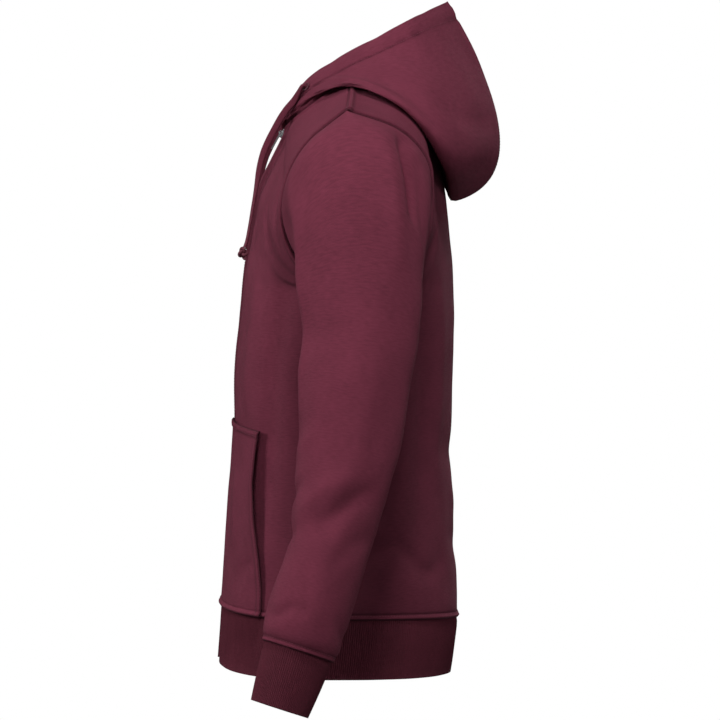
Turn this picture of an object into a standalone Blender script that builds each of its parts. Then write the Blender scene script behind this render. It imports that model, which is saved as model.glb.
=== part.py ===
# Zip up hoodie, filled out as worn, with no wearer. Metres, +Z up, the front faces -Y,
# and the wearer's left is +X. The origin is the centre of the neck opening, at the
# height of the shoulder seams' neck ends.

from math import cos, pi, radians, sin

import bmesh
import bpy
from mathutils import Matrix, Vector
from mathutils.bvhtree import BVHTree

# Driving dimensions
CLOTH = 0.0025                # brushed sweatshirt knit
RIB = 0.0030                  # doubled rib of the hem and cuffs
SEAM_GAP = 0.0003             # between neighbouring pieces
ZIP_HALF_GAP = 0.0040         # from the centre to each front's folded edge
TAPE_HALF = 0.0150            # width of one zip tape
TAPE_THICK = 0.0008
POCKET_LIFT = 0.0004          # from the front panel to the pocket's sewn edges
POCKET_GAPE = 0.0070          # how far the hand opening stands off the front
CORD_RADIUS = 0.0022
SHOULDER_DIP = 0.004          # sag of the shoulder seam in its middle

# Neckline: an oval round the neck, higher at the back
NECK_HALF_WIDTH = 0.088
NECK_FRONT = 0.076
NECK_BACK = 0.082
NECK_FRONT_DROP = 0.052
NECK_BACK_DROP = 0.004

# Steps of the facets
ARM_STEPS = 14                # rows of a panel along half the armhole
NECK_STEPS = 6                # the last of those rows, which also follow the neckline
PANEL_COLS = 8                # from the zip or back centre to the side
HOOD_COLS = 12                # from the neckline to the hood's rim

# Body sections from the hem seam to the underarm, at the front centre, side and back centre.
# "box" is the outline's squareness: 2 is an ellipse, and more is squarer.
BODY_COLUMNS = ("frontY", "frontZ", "sideX", "sideY", "sideZ", "backY", "backZ", "box")
BODY_ROWS = (
    (-0.1505, -0.602, 0.1960, -0.012, -0.613, 0.1245, -0.622, 2.5),
    (-0.1478, -0.575, 0.2000, -0.011, -0.582, 0.1240, -0.588, 2.5),
    (-0.1430, -0.500, 0.2010, -0.010, -0.505, 0.1195, -0.508, 2.5),
    (-0.1366, -0.415, 0.2010, -0.008, -0.418, 0.1170, -0.420, 2.5),
    (-0.1350, -0.335, 0.2020, -0.004, -0.336, 0.1190, -0.337, 2.5),
    (-0.1300, -0.270, 0.2030, 0.003, -0.285, 0.1205, -0.275, 2.45),
)

# Armhole, from the underarm over the front or the back to the shoulder tip: x, y and z
ARM_FRONT = (
    (0.2010, 0.0080, -0.2430),
    (0.1960, -0.0360, -0.2320),
    (0.1930, -0.0630, -0.2040),
    (0.1935, -0.0765, -0.1600),
    (0.2010, -0.0685, -0.1170),
    (0.2130, -0.0460, -0.0800),
    (0.2250, -0.0045, -0.0455),
)
ARM_BACK = (
    (0.2010, 0.0080, -0.2430),
    (0.1980, 0.0480, -0.2290),
    (0.1980, 0.0740, -0.1960),
    (0.2000, 0.0895, -0.1470),
    (0.2060, 0.0870, -0.1020),
    (0.2150, 0.0550, -0.0670),
    (0.2250, -0.0045, -0.0455),
)
ARM_CENTRE = Vector((0.150, 0.007, -0.145))

# Centre lines of the front and back above the underarm, up to the neckline: y and z
FRONT_CENTRE = (
    (-0.1265, -0.235),
    (-0.1225, -0.203),
    (-0.1175, -0.175),
    (-0.1125, -0.142),
    (-0.1065, -0.114),
    (-0.0930, -0.086),
    (-0.0760, -0.052),
)
BACK_CENTRE = (
    (0.1195, -0.240),
    (0.1180, -0.205),
    (0.1150, -0.165),
    (0.1110, -0.125),
    (0.1050, -0.085),
    (0.0950, -0.040),
    (0.0820, -0.004),
)
# Squareness of a panel's rows above the underarm, from the underarm to the shoulder
FRONT_BOX = (2.4, 2.1, 1.8, 1.6, 1.4, 1.2, 1.02)
BACK_BOX = (2.4, 2.0, 1.6, 1.3, 1.15, 1.05, 1.02)

# Sleeve sections: the inner and outer points of each ring, the middle and half its depth
# front to back, and the ring's lean in degrees. The first ring is the armhole.
SLEEVE_COLUMNS = ("inX", "inZ", "outX", "outZ", "midY", "half", "lean")
SLEEVE_ROWS = (
    (0.2090, -0.2465, 0.2510, -0.0640, 0.0080, 0.0815, 0),
    (0.2120, -0.2500, 0.2740, -0.0950, 0.0090, 0.0780, 0),
    (0.2155, -0.2560, 0.2915, -0.1380, 0.0100, 0.0735, 0),
    (0.2190, -0.2650, 0.3035, -0.1890, 0.0100, 0.0695, 2),
    (0.2230, -0.2820, 0.3125, -0.2425, 0.0100, 0.0680, 4),
    (0.2275, -0.3120, 0.3210, -0.2925, 0.0105, 0.0632, 6),
    (0.2350, -0.3530, 0.3310, -0.3370, 0.0050, 0.0604, 7),
    (0.2460, -0.4240, 0.3420, -0.4080, -0.0007, 0.0556, 9),
    (0.2570, -0.4920, 0.3510, -0.4780, -0.0143, 0.0490, 14),
    (0.2670, -0.5410, 0.3580, -0.5280, -0.0245, 0.0437, 17),
    (0.2790, -0.5980, 0.3660, -0.5860, -0.0430, 0.0446, 18),
    (0.2850, -0.6270, 0.3670, -0.6170, -0.0515, 0.0435, 18),
    (0.2945, -0.6400, 0.3610, -0.6320, -0.0556, 0.0380, 18),
)
CUFF_ROWS = (
    (0.2945, -0.6400, 0.3610, -0.6320, -0.0556, 0.0380, 18),
    (0.2985, -0.6620, 0.3600, -0.6550, -0.0625, 0.0362, 18),
    (0.3030, -0.7010, 0.3600, -0.6940, -0.0753, 0.0322, 18),
)

# Hem band rings: the same columns as the body's sections
HEM_ROWS = (
    BODY_ROWS[0],
    (-0.1520, -0.628, 0.1935, -0.014, -0.638, 0.1225, -0.645, 2.5),
    (-0.1550, -0.674, 0.1900, -0.018, -0.681, 0.1170, -0.685, 2.5),
)

# Hood sections round the neck: the angle from the front, the mouth's rim, the lower edge of
# the fold, and how far the belly stands out above the fold.
HOOD_COLUMNS = ("angle", "rimX", "rimY", "rimZ", "edgeX", "edgeY", "edgeZ", "belly")
HOOD_ROWS = (
    (0, 0.006, -0.0745, -0.043, 0.006, -0.0775, -0.049, 0.001),
    (30, 0.029, -0.0665, -0.022, 0.046, -0.0700, -0.038, 0.002),
    (60, 0.053, -0.0480, 0.003, 0.083, -0.0400, -0.0215, 0.005),
    (90, 0.078, -0.0060, 0.028, 0.138, 0.0040, -0.0140, 0.008),
    (120, 0.085, 0.0420, 0.053, 0.160, 0.0660, -0.0470, 0.020),
    (150, 0.064, 0.0800, 0.075, 0.130, 0.1060, -0.1090, 0.052),
    (180, 0.000, 0.1130, 0.096, 0.000, 0.1190, -0.1395, 0.088),
)
HOOD_SEAT = 0.0006            # height of the hood's seam edge over the panels' edges
HOOD_CLEAR = 0.0012           # least distance from the body to the hood's first row
HOOD_RISE = 0.0016            # how much further off the body each row of the fold lies
RIM_HANDLE = 0.58             # straight run below the rim, as a share of the section's height
HOOD_CENTRE = Vector((0.0, 0.020, 0.0))

# Pocket rows: the height counted in the body's rows from the hem seam, the outer edge's
# place across the front (0 at the zip, 1 at the side), and the share of the gape there
POCKET_ROWS = (
    (0.01, 0.625, 0.0),
    (0.50, 0.625, 0.0),
    (1.00, 0.625, 0.1),
    (1.50, 0.610, 0.6),
    (2.00, 0.575, 1.0),
    (2.50, 0.545, 1.0),
    (3.00, 0.540, 0.5),
    (3.17, 0.548, 0.0),
)
POCKET_ACROSS = (0.060, 0.125, 0.250, 0.375, 0.500)
POCKET_TOP_RISE = 0.16        # how many rows higher the pocket's top is at the zip

# Eyelets in the hood's channel
EYELET_ANGLE = 60             # round the neck from the front
EYELET_RADIUS = 0.0046
EYELET_WIRE = 0.0009

# Drawcord: route of the left end from its eyelet, as x, y and z, and its knot
CORD_ROUTE = (
    (0.0628, -0.0508, -0.0085),
    (0.0641, -0.0530, -0.0070),
    (0.0646, -0.0558, -0.0082),
    (0.0618, -0.0600, -0.0155),
    (0.0575, -0.0655, -0.0245),
    (0.0540, -0.0727, -0.0325),
    (0.0510, -0.0802, -0.0430),
    (0.0480, -0.0873, -0.0555),
    (0.0460, -0.0948, -0.0695),
    (0.0440, -0.1010, -0.0840),
    (0.0415, -0.1057, -0.1020),
    (0.0396, -0.1092, -0.1230),
    (0.0384, -0.1130, -0.1450),
    (0.0374, -0.1165, -0.1660),
    (0.0370, -0.1200, -0.1840),
    (0.0370, -0.1228, -0.1925),
)
CORD_POINTS = 40
KNOT_RADIUS = 0.0058
KNOT_LENGTH = 0.0120

# Zip slider and pull, on the closed zip's top
SLIDER_PLACE = Vector((0.0, -0.0795, -0.0585))
ZIP_TILT = radians(-28.0)     # the zip's slope at the neck
SLIDER_SIZE = (0.0072, 0.0042, 0.0100)
BAIL_RADIUS = 0.0026
WIRE_RADIUS = 0.0006
PULL_LENGTH = 0.0220
PULL_WIDTH = 0.0050
PULL_THICK = 0.0012

COLOURS = {
    "cloth": ((0.125, 0.028, 0.045, 1.0), 0.85, 0.0),
    "rib": ((0.105, 0.022, 0.036, 1.0), 0.88, 0.0),
    "cord": ((0.115, 0.025, 0.040, 1.0), 0.75, 0.0),
    "tape": ((0.090, 0.020, 0.032, 1.0), 0.80, 0.0),
    "enamel": ((0.085, 0.020, 0.032, 1.0), 0.35, 0.0),
    "metal": ((0.72, 0.72, 0.74, 1.0), 0.28, 1.0),
}


def clear_scene():
    for old in list(bpy.data.objects):
        bpy.data.objects.remove(old, do_unlink=True)


def part_material(name, finish):
    colour, roughness, metallic = COLOURS[finish]
    material = bpy.data.materials.new(name)
    material.use_nodes = True
    shader = material.node_tree.nodes["Principled BSDF"]
    shader.inputs["Base Color"].default_value = colour
    shader.inputs["Roughness"].default_value = roughness
    shader.inputs["Metallic"].default_value = metallic
    return material


def spline(rows, t):
    """Point at t, 0 to 1, on the smooth curve through evenly spaced rows of numbers."""
    spans = len(rows) - 1
    i = min(int(t * spans), spans - 1)
    f = t * spans - i

    def row(k):
        if k < 0:
            return [2 * a - b for a, b in zip(rows[0], rows[1])]
        if k > spans:
            return [2 * a - b for a, b in zip(rows[-1], rows[-2])]
        return rows[k]

    out = []
    for a, b, c, d in zip(row(i - 1), row(i), row(i + 1), row(i + 2)):
        out.append(b + 0.5 * f * (c - a + f * (2 * a - 5 * b + 4 * c - d + f * (3 * b - 3 * c + d - a))))
    return out


def neck_point(angle):
    """Point of the left half's neckline at an angle in degrees from the front centre."""
    c = cos(radians(angle))
    x = NECK_HALF_WIDTH * sin(radians(angle))
    if c >= 0:
        return Vector((x, -NECK_FRONT * c, -NECK_FRONT_DROP * c))
    return Vector((x, -NECK_BACK * c, -NECK_BACK_DROP * c * c))


def arm_point(rows, f):
    return Vector(spline(rows, f))


# Rows of a panel: the inner end, the outer end and the squareness of each row

def row_ends(row, front):
    r = dict(zip(BODY_COLUMNS, row))
    side = Vector((r["sideX"], r["sideY"], r["sideZ"]))
    if front:
        return Vector((0, r["frontY"], r["frontZ"])), side, r["box"]
    return Vector((0, r["backY"], r["backZ"])), side, r["box"]


def chest_row(f, front):
    outer = arm_point(ARM_FRONT if front else ARM_BACK, f)
    box = spline([(b,) for b in (FRONT_BOX if front else BACK_BOX)], f)[0]
    neck_start = 1 - NECK_STEPS / ARM_STEPS
    if f > neck_start:
        turn = 90 * (f - neck_start) / (1 - neck_start)
        return neck_point(turn if front else 180 - turn), outer, box
    y, z = spline(FRONT_CENTRE if front else BACK_CENTRE, f / neck_start)
    return Vector((0, y, z)), outer, box


def panel_rows(front):
    rows = [row_ends(row, front) for row in BODY_ROWS]
    return rows + [chest_row(k / ARM_STEPS, front) for k in range(ARM_STEPS + 1)]


def row_point(row, s, dip=0.0):
    """Point at s, 0 to 1, along a row, which bows out like a quarter of a squared oval."""
    inner, outer, box = row
    across = sin(s * pi / 2) ** (2 / box)
    along = cos(s * pi / 2) ** (2 / box) if s < 1 else 0.0
    x = inner.x + (outer.x - inner.x) * across
    y = outer.y + (inner.y - outer.y) * along
    z = inner.z + (outer.z - inner.z) * across - dip * sin(pi * across)
    return Vector((x, y, z))


def panel_grid(front):
    rows = panel_rows(front)
    grid = []
    for k, row in enumerate(rows):
        near_shoulder = max(0.0, (k - len(rows) + 4) / 3)
        grid.append([row_point(row, j / PANEL_COLS, SHOULDER_DIP * near_shoulder)
                     for j in range(PANEL_COLS + 1)])
    return grid


# Walls: a grid of points on the outer face, given its thickness along seam-shared normals

def grid_normals(grid, wrap=False, flip=False):
    rows, cols = len(grid), len(grid[0])
    sign = -1 if flip else 1
    normals = []
    for i in range(rows):
        line = []
        for j in range(cols):
            up = grid[min(i + 1, rows - 1)][j] - grid[max(i - 1, 0)][j]
            if wrap:
                across = grid[i][(j + 1) % cols] - grid[i][j - 1]
            else:
                across = grid[i][min(j + 1, cols - 1)] - grid[i][max(j - 1, 0)]
            line.append(across.cross(up).normalized() * sign)
        normals.append(line)
    return normals


def pulled_in(grid, edges, distance):
    """The grid with its edge points moved towards the next points, to leave a seam's gap."""
    out = [[p.copy() for p in row] for row in grid]
    last, end = len(grid) - 1, len(grid[0]) - 1
    for i in range(last + 1):
        for j in range(end + 1):
            move = Vector()
            if "bottom" in edges and i == 0:
                move += (grid[1][j] - grid[0][j]).normalized()
            if "top" in edges and i == last:
                move += (grid[last - 1][j] - grid[last][j]).normalized()
            if "left" in edges and j == 0:
                move += (grid[i][1] - grid[i][0]).normalized()
            if "right" in edges and j == end:
                move += (grid[i][end - 1] - grid[i][end]).normalized()
            out[i][j] += move * distance
    return out


def wall_mesh(name, grid, normals, thickness, wrap=False):
    """A closed wall under a grid whose normals point out of the cloth's face."""
    bm = bmesh.new()
    rows, cols = len(grid), len(grid[0])
    faces = [[bm.verts.new(p) for p in row] for row in grid]
    backs = [[bm.verts.new(p - n * thickness) for p, n in zip(row, line)]
             for row, line in zip(grid, normals)]
    last_col = cols if wrap else cols - 1
    for i in range(rows - 1):
        for j in range(last_col):
            k = (j + 1) % cols
            bm.faces.new((faces[i][j], faces[i][k], faces[i + 1][k], faces[i + 1][j]))
            bm.faces.new((backs[i][j], backs[i + 1][j], backs[i + 1][k], backs[i][k]))
    for j in range(last_col):
        k = (j + 1) % cols
        bm.faces.new((faces[0][k], faces[0][j], backs[0][j], backs[0][k]))
        bm.faces.new((faces[-1][j], faces[-1][k], backs[-1][k], backs[-1][j]))
    if not wrap:
        for i in range(rows - 1):
            bm.faces.new((faces[i][0], faces[i + 1][0], backs[i + 1][0], backs[i][0]))
            bm.faces.new((faces[i + 1][-1], faces[i][-1], backs[i][-1], backs[i + 1][-1]))
    bmesh.ops.recalc_face_normals(bm, faces=bm.faces)
    mesh = bpy.data.meshes.new(name)
    bm.to_mesh(mesh)
    bm.free()
    return mesh


def add_object(name, data, finish, collection):
    item = bpy.data.objects.new(name, data)
    item.data.materials.append(part_material(name, finish))
    collection.objects.link(item)
    return item


def mirrored(grid):
    """The right side's grid, with its columns turned round so that it still faces out."""
    return [[Vector((-p.x, p.y, p.z)) for p in reversed(row)] for row in grid]


def add_pair(stem, grid, normals, thickness, finish, collection, wrap=False):
    add_object(stem + "_left", wall_mesh(stem + "_left", grid, normals, thickness, wrap),
               finish, collection)
    add_object(stem + "_right", wall_mesh(stem + "_right", mirrored(grid), mirrored(normals),
                                          thickness, wrap), finish, collection)


def arm_normal(p):
    return (p - ARM_CENTRE).normalized()


def neck_normal(p):
    """Out and up: the way that the panels' thickness is measured at the neckline."""
    return (Vector((p.x, p.y, 0)).normalized() * 0.75 + Vector((0, 0, 0.66))).normalized()


def shoulder_normal():
    return Vector((0.0455, 0, 0.225 - NECK_HALF_WIDTH)).normalized()


def share_panel_normals(grid, normals, side):
    """Give a panel's edges the normals that its neighbours use at the same seams."""
    chest = len(BODY_ROWS)
    neck = len(grid) - 1 - NECK_STEPS
    for j, n in enumerate(normals[-1]):
        normals[-1][j] = shoulder_normal()
    for i, row in enumerate(grid):
        normals[i][0] = Vector((0, normals[i][0].y, normals[i][0].z)).normalized()
        if i >= neck:
            normals[i][0] = neck_normal(row[0])
        normals[i][-1] = arm_normal(row[-1]) if i >= chest else Vector((side, 0, 0))
    for j, n in enumerate(normals[0]):
        normals[0][j] = Vector((n.x, n.y, 0)).normalized()


def make_fronts(collection):
    grid = panel_grid(front=True)
    normals = grid_normals(grid)
    share_panel_normals(grid, normals, side=1)
    for row in grid:
        row[0].x = max(row[0].x, ZIP_HALF_GAP)
    grid = pulled_in(grid, ("bottom", "top", "right"), SEAM_GAP / 2)
    add_pair("front", grid, normals, CLOTH, "cloth", collection)


def make_back(collection):
    half = panel_grid(front=False)
    left_normals = grid_normals(half, flip=True)
    share_panel_normals(half, left_normals, side=1)
    half = pulled_in(half, ("bottom", "top", "right"), SEAM_GAP / 2)
    neck = len(half) - 1 - NECK_STEPS
    bm = bmesh.new()
    faces, backs = [], []
    for i, row in enumerate(half):
        shared = i <= neck
        face_line, back_line = [], []
        for sign in (1, -1):
            for j, p in enumerate(row):
                if sign < 0 and j == 0 and shared:
                    face_line.append(face_line[0])
                    back_line.append(back_line[0])
                    continue
                n = left_normals[i][j]
                at = Vector((sign * p.x, p.y, p.z))
                out = Vector((sign * n.x, n.y, n.z))
                face_line.append(bm.verts.new(at))
                back_line.append(bm.verts.new(at - out * CLOTH))
        faces.append(face_line)
        backs.append(back_line)
    width = PANEL_COLS + 1
    for i in range(len(half) - 1):
        for start in (0, width):
            for j in range(start, start + PANEL_COLS):
                bm.faces.new((faces[i][j], faces[i][j + 1], faces[i + 1][j + 1], faces[i + 1][j]))
                bm.faces.new((backs[i][j], backs[i + 1][j], backs[i + 1][j + 1], backs[i][j + 1]))
    rim = [e for e in bm.edges if len(e.link_faces) == 1]
    pairs = {}
    for face_line, back_line in zip(faces, backs):
        for a, b in zip(face_line, back_line):
            pairs[a] = b
    for edge in rim:
        a, b = edge.verts
        if a in pairs and b in pairs:
            bm.faces.new((a, b, pairs[b], pairs[a]))
    bmesh.ops.recalc_face_normals(bm, faces=bm.faces)
    mesh = bpy.data.meshes.new("back")
    bm.to_mesh(mesh)
    bm.free()
    add_object("back", mesh, "cloth", collection)


def ring(row):
    """One sleeve or cuff ring, from the underarm over the front, the top and the back."""
    r = dict(zip(SLEEVE_COLUMNS, row))
    inner = Vector((r["inX"], r["midY"], r["inZ"]))
    outer = Vector((r["outX"], r["midY"], r["outZ"]))
    centre = (inner + outer) / 2
    half_up = (outer - inner) / 2
    back = Vector((0, cos(radians(r["lean"])), -sin(radians(r["lean"])))) * r["half"]
    points = []
    for k in range(2 * ARM_STEPS):
        angle = radians(270 - 180 * k / ARM_STEPS)
        points.append(centre + half_up * sin(angle) + back * cos(angle))
    return points


def armhole_ring():
    over_front = [arm_point(ARM_FRONT, k / ARM_STEPS) for k in range(ARM_STEPS)]
    over_back = [arm_point(ARM_BACK, 1 - k / ARM_STEPS) for k in range(ARM_STEPS)]
    return over_front + over_back


def make_sleeves(collection):
    grid = [armhole_ring()] + [ring(row) for row in SLEEVE_ROWS]
    normals = grid_normals(grid, wrap=True, flip=True)
    normals[0] = [arm_normal(p) for p in grid[0]]
    normals[-1] = cuff_seam_normals()
    grid = pulled_in(grid, ("bottom", "top"), SEAM_GAP / 2)
    add_pair("sleeve", grid, normals, CLOTH, "cloth", collection, wrap=True)


def cuff_seam_normals():
    points = ring(CUFF_ROWS[0])
    centre = sum(points, Vector()) / len(points)
    return [(p - centre).normalized() for p in points]


def make_cuffs(collection):
    grid = [ring(row) for row in CUFF_ROWS]
    normals = grid_normals(grid, wrap=True, flip=True)
    normals[0] = cuff_seam_normals()
    grid = pulled_in(grid, ("bottom",), SEAM_GAP / 2)
    add_pair("cuff", grid, normals, RIB, "rib", collection, wrap=True)


def hem_half_row(row):
    front, back = row_ends(row, True), row_ends(row, False)
    points = [row_point(front, j / PANEL_COLS) for j in range(PANEL_COLS + 1)]
    points[0].x = ZIP_HALF_GAP
    return points + [row_point(back, j / PANEL_COLS) for j in range(PANEL_COLS - 1, -1, -1)]


def make_hem(collection):
    grid = []
    for row in HEM_ROWS:
        left = hem_half_row(row)
        right = [Vector((-p.x, p.y, p.z)) for p in reversed(left[:-1])]
        grid.append(left + right)
    normals = grid_normals(grid, flip=True)
    for line, row in zip(normals, grid):
        for j in (0, -1):
            line[j] = Vector((0, line[j].y, line[j].z)).normalized()
    normals[0] = [Vector((n.x, n.y, 0)).normalized() for n in normals[0]]
    grid = pulled_in(grid, ("bottom",), SEAM_GAP / 2)
    add_object("hem_rib", wall_mesh("hem_rib", grid, normals, RIB), "rib", collection)


def grid_point(grid, v, s):
    """Point between a grid's points: v counts rows, and s runs from 0 to 1 across."""
    i = min(int(v), len(grid) - 2)
    u = s * (len(grid[0]) - 1)
    j = min(int(u), len(grid[0]) - 2)
    low = grid[i][j].lerp(grid[i][j + 1], u - j)
    high = grid[i + 1][j].lerp(grid[i + 1][j + 1], u - j)
    return low.lerp(high, v - i)


def make_pockets(collection):
    front = panel_grid(front=True)
    front_normals = grid_normals(front)
    grid, normals = [], []
    for k, (v, outer, gape) in enumerate(POCKET_ROWS):
        rise = POCKET_TOP_RISE if k == len(POCKET_ROWS) - 1 else 0
        line, out_line = [], []
        for s in (*POCKET_ACROSS, outer):
            at = v + rise * (1 - s / outer)
            out = grid_point(front_normals, at, s).normalized()
            lift = POCKET_LIFT + CLOTH + POCKET_GAPE * gape * (s / outer) ** 4
            line.append(grid_point(front, at, s) + out * lift)
            out_line.append(out)
        grid.append(line)
        normals.append(out_line)
    add_pair("pocket", grid, normals, CLOTH, "cloth", collection)


def body_surface():
    """The left front's and back's outer faces, which the hood lies on."""
    verts, faces = [], []
    for front in (True, False):
        grid = panel_grid(front)
        start, width = len(verts), len(grid[0])
        verts += [p for row in grid for p in row]
        for i in range(len(grid) - 1):
            for j in range(width - 1):
                a = start + i * width + j
                quad = (a, a + 1, a + width + 1, a + width)
                faces.append(quad if front else quad[::-1])
    return BVHTree.FromPolygons(verts, faces)


def clear_of_body(p, distance):
    """The point, moved out where it lies nearer to the body's face than the distance."""
    at, normal, _, _ = clear_of_body.surface.find_nearest(p)
    if (p - at).dot(normal) < distance:
        return at + normal * distance
    return p


def bezier(a, b, c, d, t):
    u = 1 - t
    return a * u ** 3 + b * 3 * u * u * t + c * 3 * u * t * t + d * t ** 3


def hood_section(angle):
    """Points from the neckline, under the fold, up its outer face to the mouth's rim."""
    r = dict(zip(HOOD_COLUMNS, spline(HOOD_ROWS, angle / 180)))
    neck = neck_point(angle) + Vector((0, 0, HOOD_SEAT))
    rim = Vector((max(r["rimX"], 0), r["rimY"], r["rimZ"]))
    edge = Vector((max(r["edgeX"], 0), r["edgeY"], r["edgeZ"]))
    out = (edge - HOOD_CENTRE)
    out.z = 0
    out.normalize()
    below_rim = rim + (out * 0.53 - Vector((0, 0, 0.85))) * RIM_HANDLE * (rim - edge).length
    beyond_edge = edge + (out + Vector((0, 0, 0.2))) * r["belly"]
    tuck = neck.lerp(edge, 0.5) + Vector((0, 0, 0.004)) * min(1, r["belly"] / 0.008)
    under = [neck] + [clear_of_body(bezier(neck, neck, tuck, edge, t / 4), HOOD_CLEAR + HOOD_RISE * t)
                      for t in (1, 2, 3)]
    face = [bezier(edge, beyond_edge, below_rim, rim, t / (HOOD_COLS - 4)) for t in range(HOOD_COLS - 3)]
    face[0] = clear_of_body(face[0], HOOD_CLEAR + HOOD_RISE * 4)
    return under + face


def make_hood(collection):
    clear_of_body.surface = body_surface()
    angles = [180 * k / (2 * NECK_STEPS) for k in range(2 * NECK_STEPS + 1)]
    sections = [hood_section(angle) for angle in angles]
    for p in sections[0]:
        p.x = max(p.x, ZIP_HALF_GAP)
    for p in sections[-1]:
        p.x = 0
    grid = [list(line) for line in zip(*sections)]
    normals = grid_normals(grid)
    for line in normals:
        line[-1] = Vector((0, line[-1].y, line[-1].z)).normalized()
    grid = pulled_in(grid, ("bottom", "right"), SEAM_GAP / 2)
    add_pair("hood", grid, normals, CLOTH, "cloth", collection)


def place_at_x(row, x):
    """Point of a row's first facet at a small distance from the centre."""
    start, end = row_point(row, 0), row_point(row, 1 / PANEL_COLS)
    return start.lerp(end, x / end.x)


def make_zip_tapes(collection):
    hem = [row_ends(row, True) for row in reversed(HEM_ROWS[1:])]
    rows = hem + panel_rows(front=True)[:-NECK_STEPS]
    face = [[place_at_x(row, x) for x in (SEAM_GAP / 2, TAPE_HALF / 2, TAPE_HALF)] for row in rows]
    normals = grid_normals(face)
    grid = []
    for k, (line, out_line) in enumerate(zip(face, normals)):
        behind = (RIB if k <= len(hem) else CLOTH) + SEAM_GAP
        grid.append([p - out * behind for p, out in zip(line, out_line)])
        grid[-1][0].x = SEAM_GAP / 2
        for out in out_line:
            out.x = 0
    add_pair("zip_tape", grid, normals, TAPE_THICK, "tape", collection)


def curve_tube(name, points, radius, resolution, finish, collection, closed=False):
    curve = bpy.data.curves.new(name, "CURVE")
    curve.dimensions = "3D"
    curve.bevel_depth = radius
    curve.bevel_resolution = resolution
    curve.use_fill_caps = not closed
    line = curve.splines.new("POLY")
    line.points.add(len(points) - 1)
    for point, at in zip(line.points, points):
        point.co = (*at, 1)
    line.use_cyclic_u = closed
    return add_object(name, curve, finish, collection)


def hood_place(angle, row):
    """Point of the hood's outer face, and the direction straight out of it."""
    here, behind = hood_section(angle), hood_section(angle + 2)
    out = (behind[row] - here[row]).cross(here[row + 1] - here[row - 1]).normalized()
    return here[row], out


def make_eyelets(collection):
    place, out = hood_place(EYELET_ANGLE, HOOD_COLS - 2)
    for side, sign in (("left", 1), ("right", -1)):
        circle = [Vector((EYELET_RADIUS * cos(pi * k / 8), EYELET_RADIUS * sin(pi * k / 8), 0))
                  for k in range(16)]
        eyelet = curve_tube("eyelet_" + side, circle, EYELET_WIRE, 2, "enamel", collection, closed=True)
        seat = place + out * (EYELET_WIRE + 2 * SEAM_GAP)
        eyelet.location = (sign * seat.x, seat.y, seat.z)
        facing = Vector((sign * out.x, out.y, out.z))
        eyelet.rotation_euler = Vector((0, 0, 1)).rotation_difference(facing).to_euler()


def make_cords(collection):
    for side, sign in (("left", 1), ("right", -1)):
        points = [Vector(spline(CORD_ROUTE, k / (CORD_POINTS - 1))) for k in range(CORD_POINTS)]
        points = [Vector((sign * p.x, p.y, p.z)) for p in points]
        curve_tube("drawcord_" + side, points, CORD_RADIUS, 2, "cord", collection)
        down = (points[-1] - points[-2]).normalized()
        bm = bmesh.new()
        bmesh.ops.create_uvsphere(bm, u_segments=12, v_segments=8, radius=KNOT_RADIUS)
        bmesh.ops.scale(bm, vec=(1, 1, KNOT_LENGTH / (2 * KNOT_RADIUS)), verts=bm.verts)
        mesh = bpy.data.meshes.new("knot_" + side)
        bm.to_mesh(mesh)
        bm.free()
        knot = add_object("knot_" + side, mesh, "cord", collection)
        knot.rotation_euler = Vector((0, 0, -1)).rotation_difference(down).to_euler()
        knot.location = points[-1] + down * (KNOT_LENGTH / 2 + SEAM_GAP)


def union(target, other):
    """Joins a second solid into the first, and leaves one body."""
    join = target.modifiers.new("join", "BOOLEAN")
    join.operation = "UNION"
    join.solver = "EXACT"
    join.object = other


def mesh_from_curve(item, collection):
    """The curve's solid as a mesh object, with its caps welded."""
    bpy.context.view_layer.update()
    evaluated = item.evaluated_get(bpy.context.evaluated_depsgraph_get())
    mesh = bpy.data.meshes.new_from_object(evaluated)
    bm = bmesh.new()
    bm.from_mesh(mesh)
    bmesh.ops.remove_doubles(bm, verts=bm.verts, dist=0.00001)
    bm.to_mesh(mesh)
    bm.free()
    solid = bpy.data.objects.new(item.name + "_solid", mesh)
    solid.matrix_world = item.matrix_world.copy()
    collection.objects.link(solid)
    bpy.data.objects.remove(item)
    return solid


def make_slider(collection, cutters):
    place = Matrix.Translation(SLIDER_PLACE) @ Matrix.Rotation(ZIP_TILT, 4, "X")
    bm = bmesh.new()
    bmesh.ops.create_cube(bm, size=1)
    bmesh.ops.scale(bm, vec=SLIDER_SIZE, verts=bm.verts)
    mesh = bpy.data.meshes.new("zip_slider")
    bm.to_mesh(mesh)
    bm.free()
    slider = add_object("zip_slider", mesh, "metal", collection)
    slider.matrix_world = place
    bevel = slider.modifiers.new("edges", "BEVEL")
    bevel.width = 0.0008
    bevel.segments = 2
    # The bail is an arch on the slider's face, which the pull's crossbar runs through.
    face = -SLIDER_SIZE[1] / 2
    arch = [Vector((0, face + 0.0006 - (BAIL_RADIUS + 0.0004) * sin(pi * k / 10),
                    BAIL_RADIUS * cos(pi * k / 10))) for k in range(11)]
    bail = curve_tube("bail", arch, WIRE_RADIUS, 2, "metal", cutters)
    bail.matrix_world = place
    bail = mesh_from_curve(bail, cutters)
    bail.hide_render = True
    bail.display_type = "WIRE"
    union(slider, bail)


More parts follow.
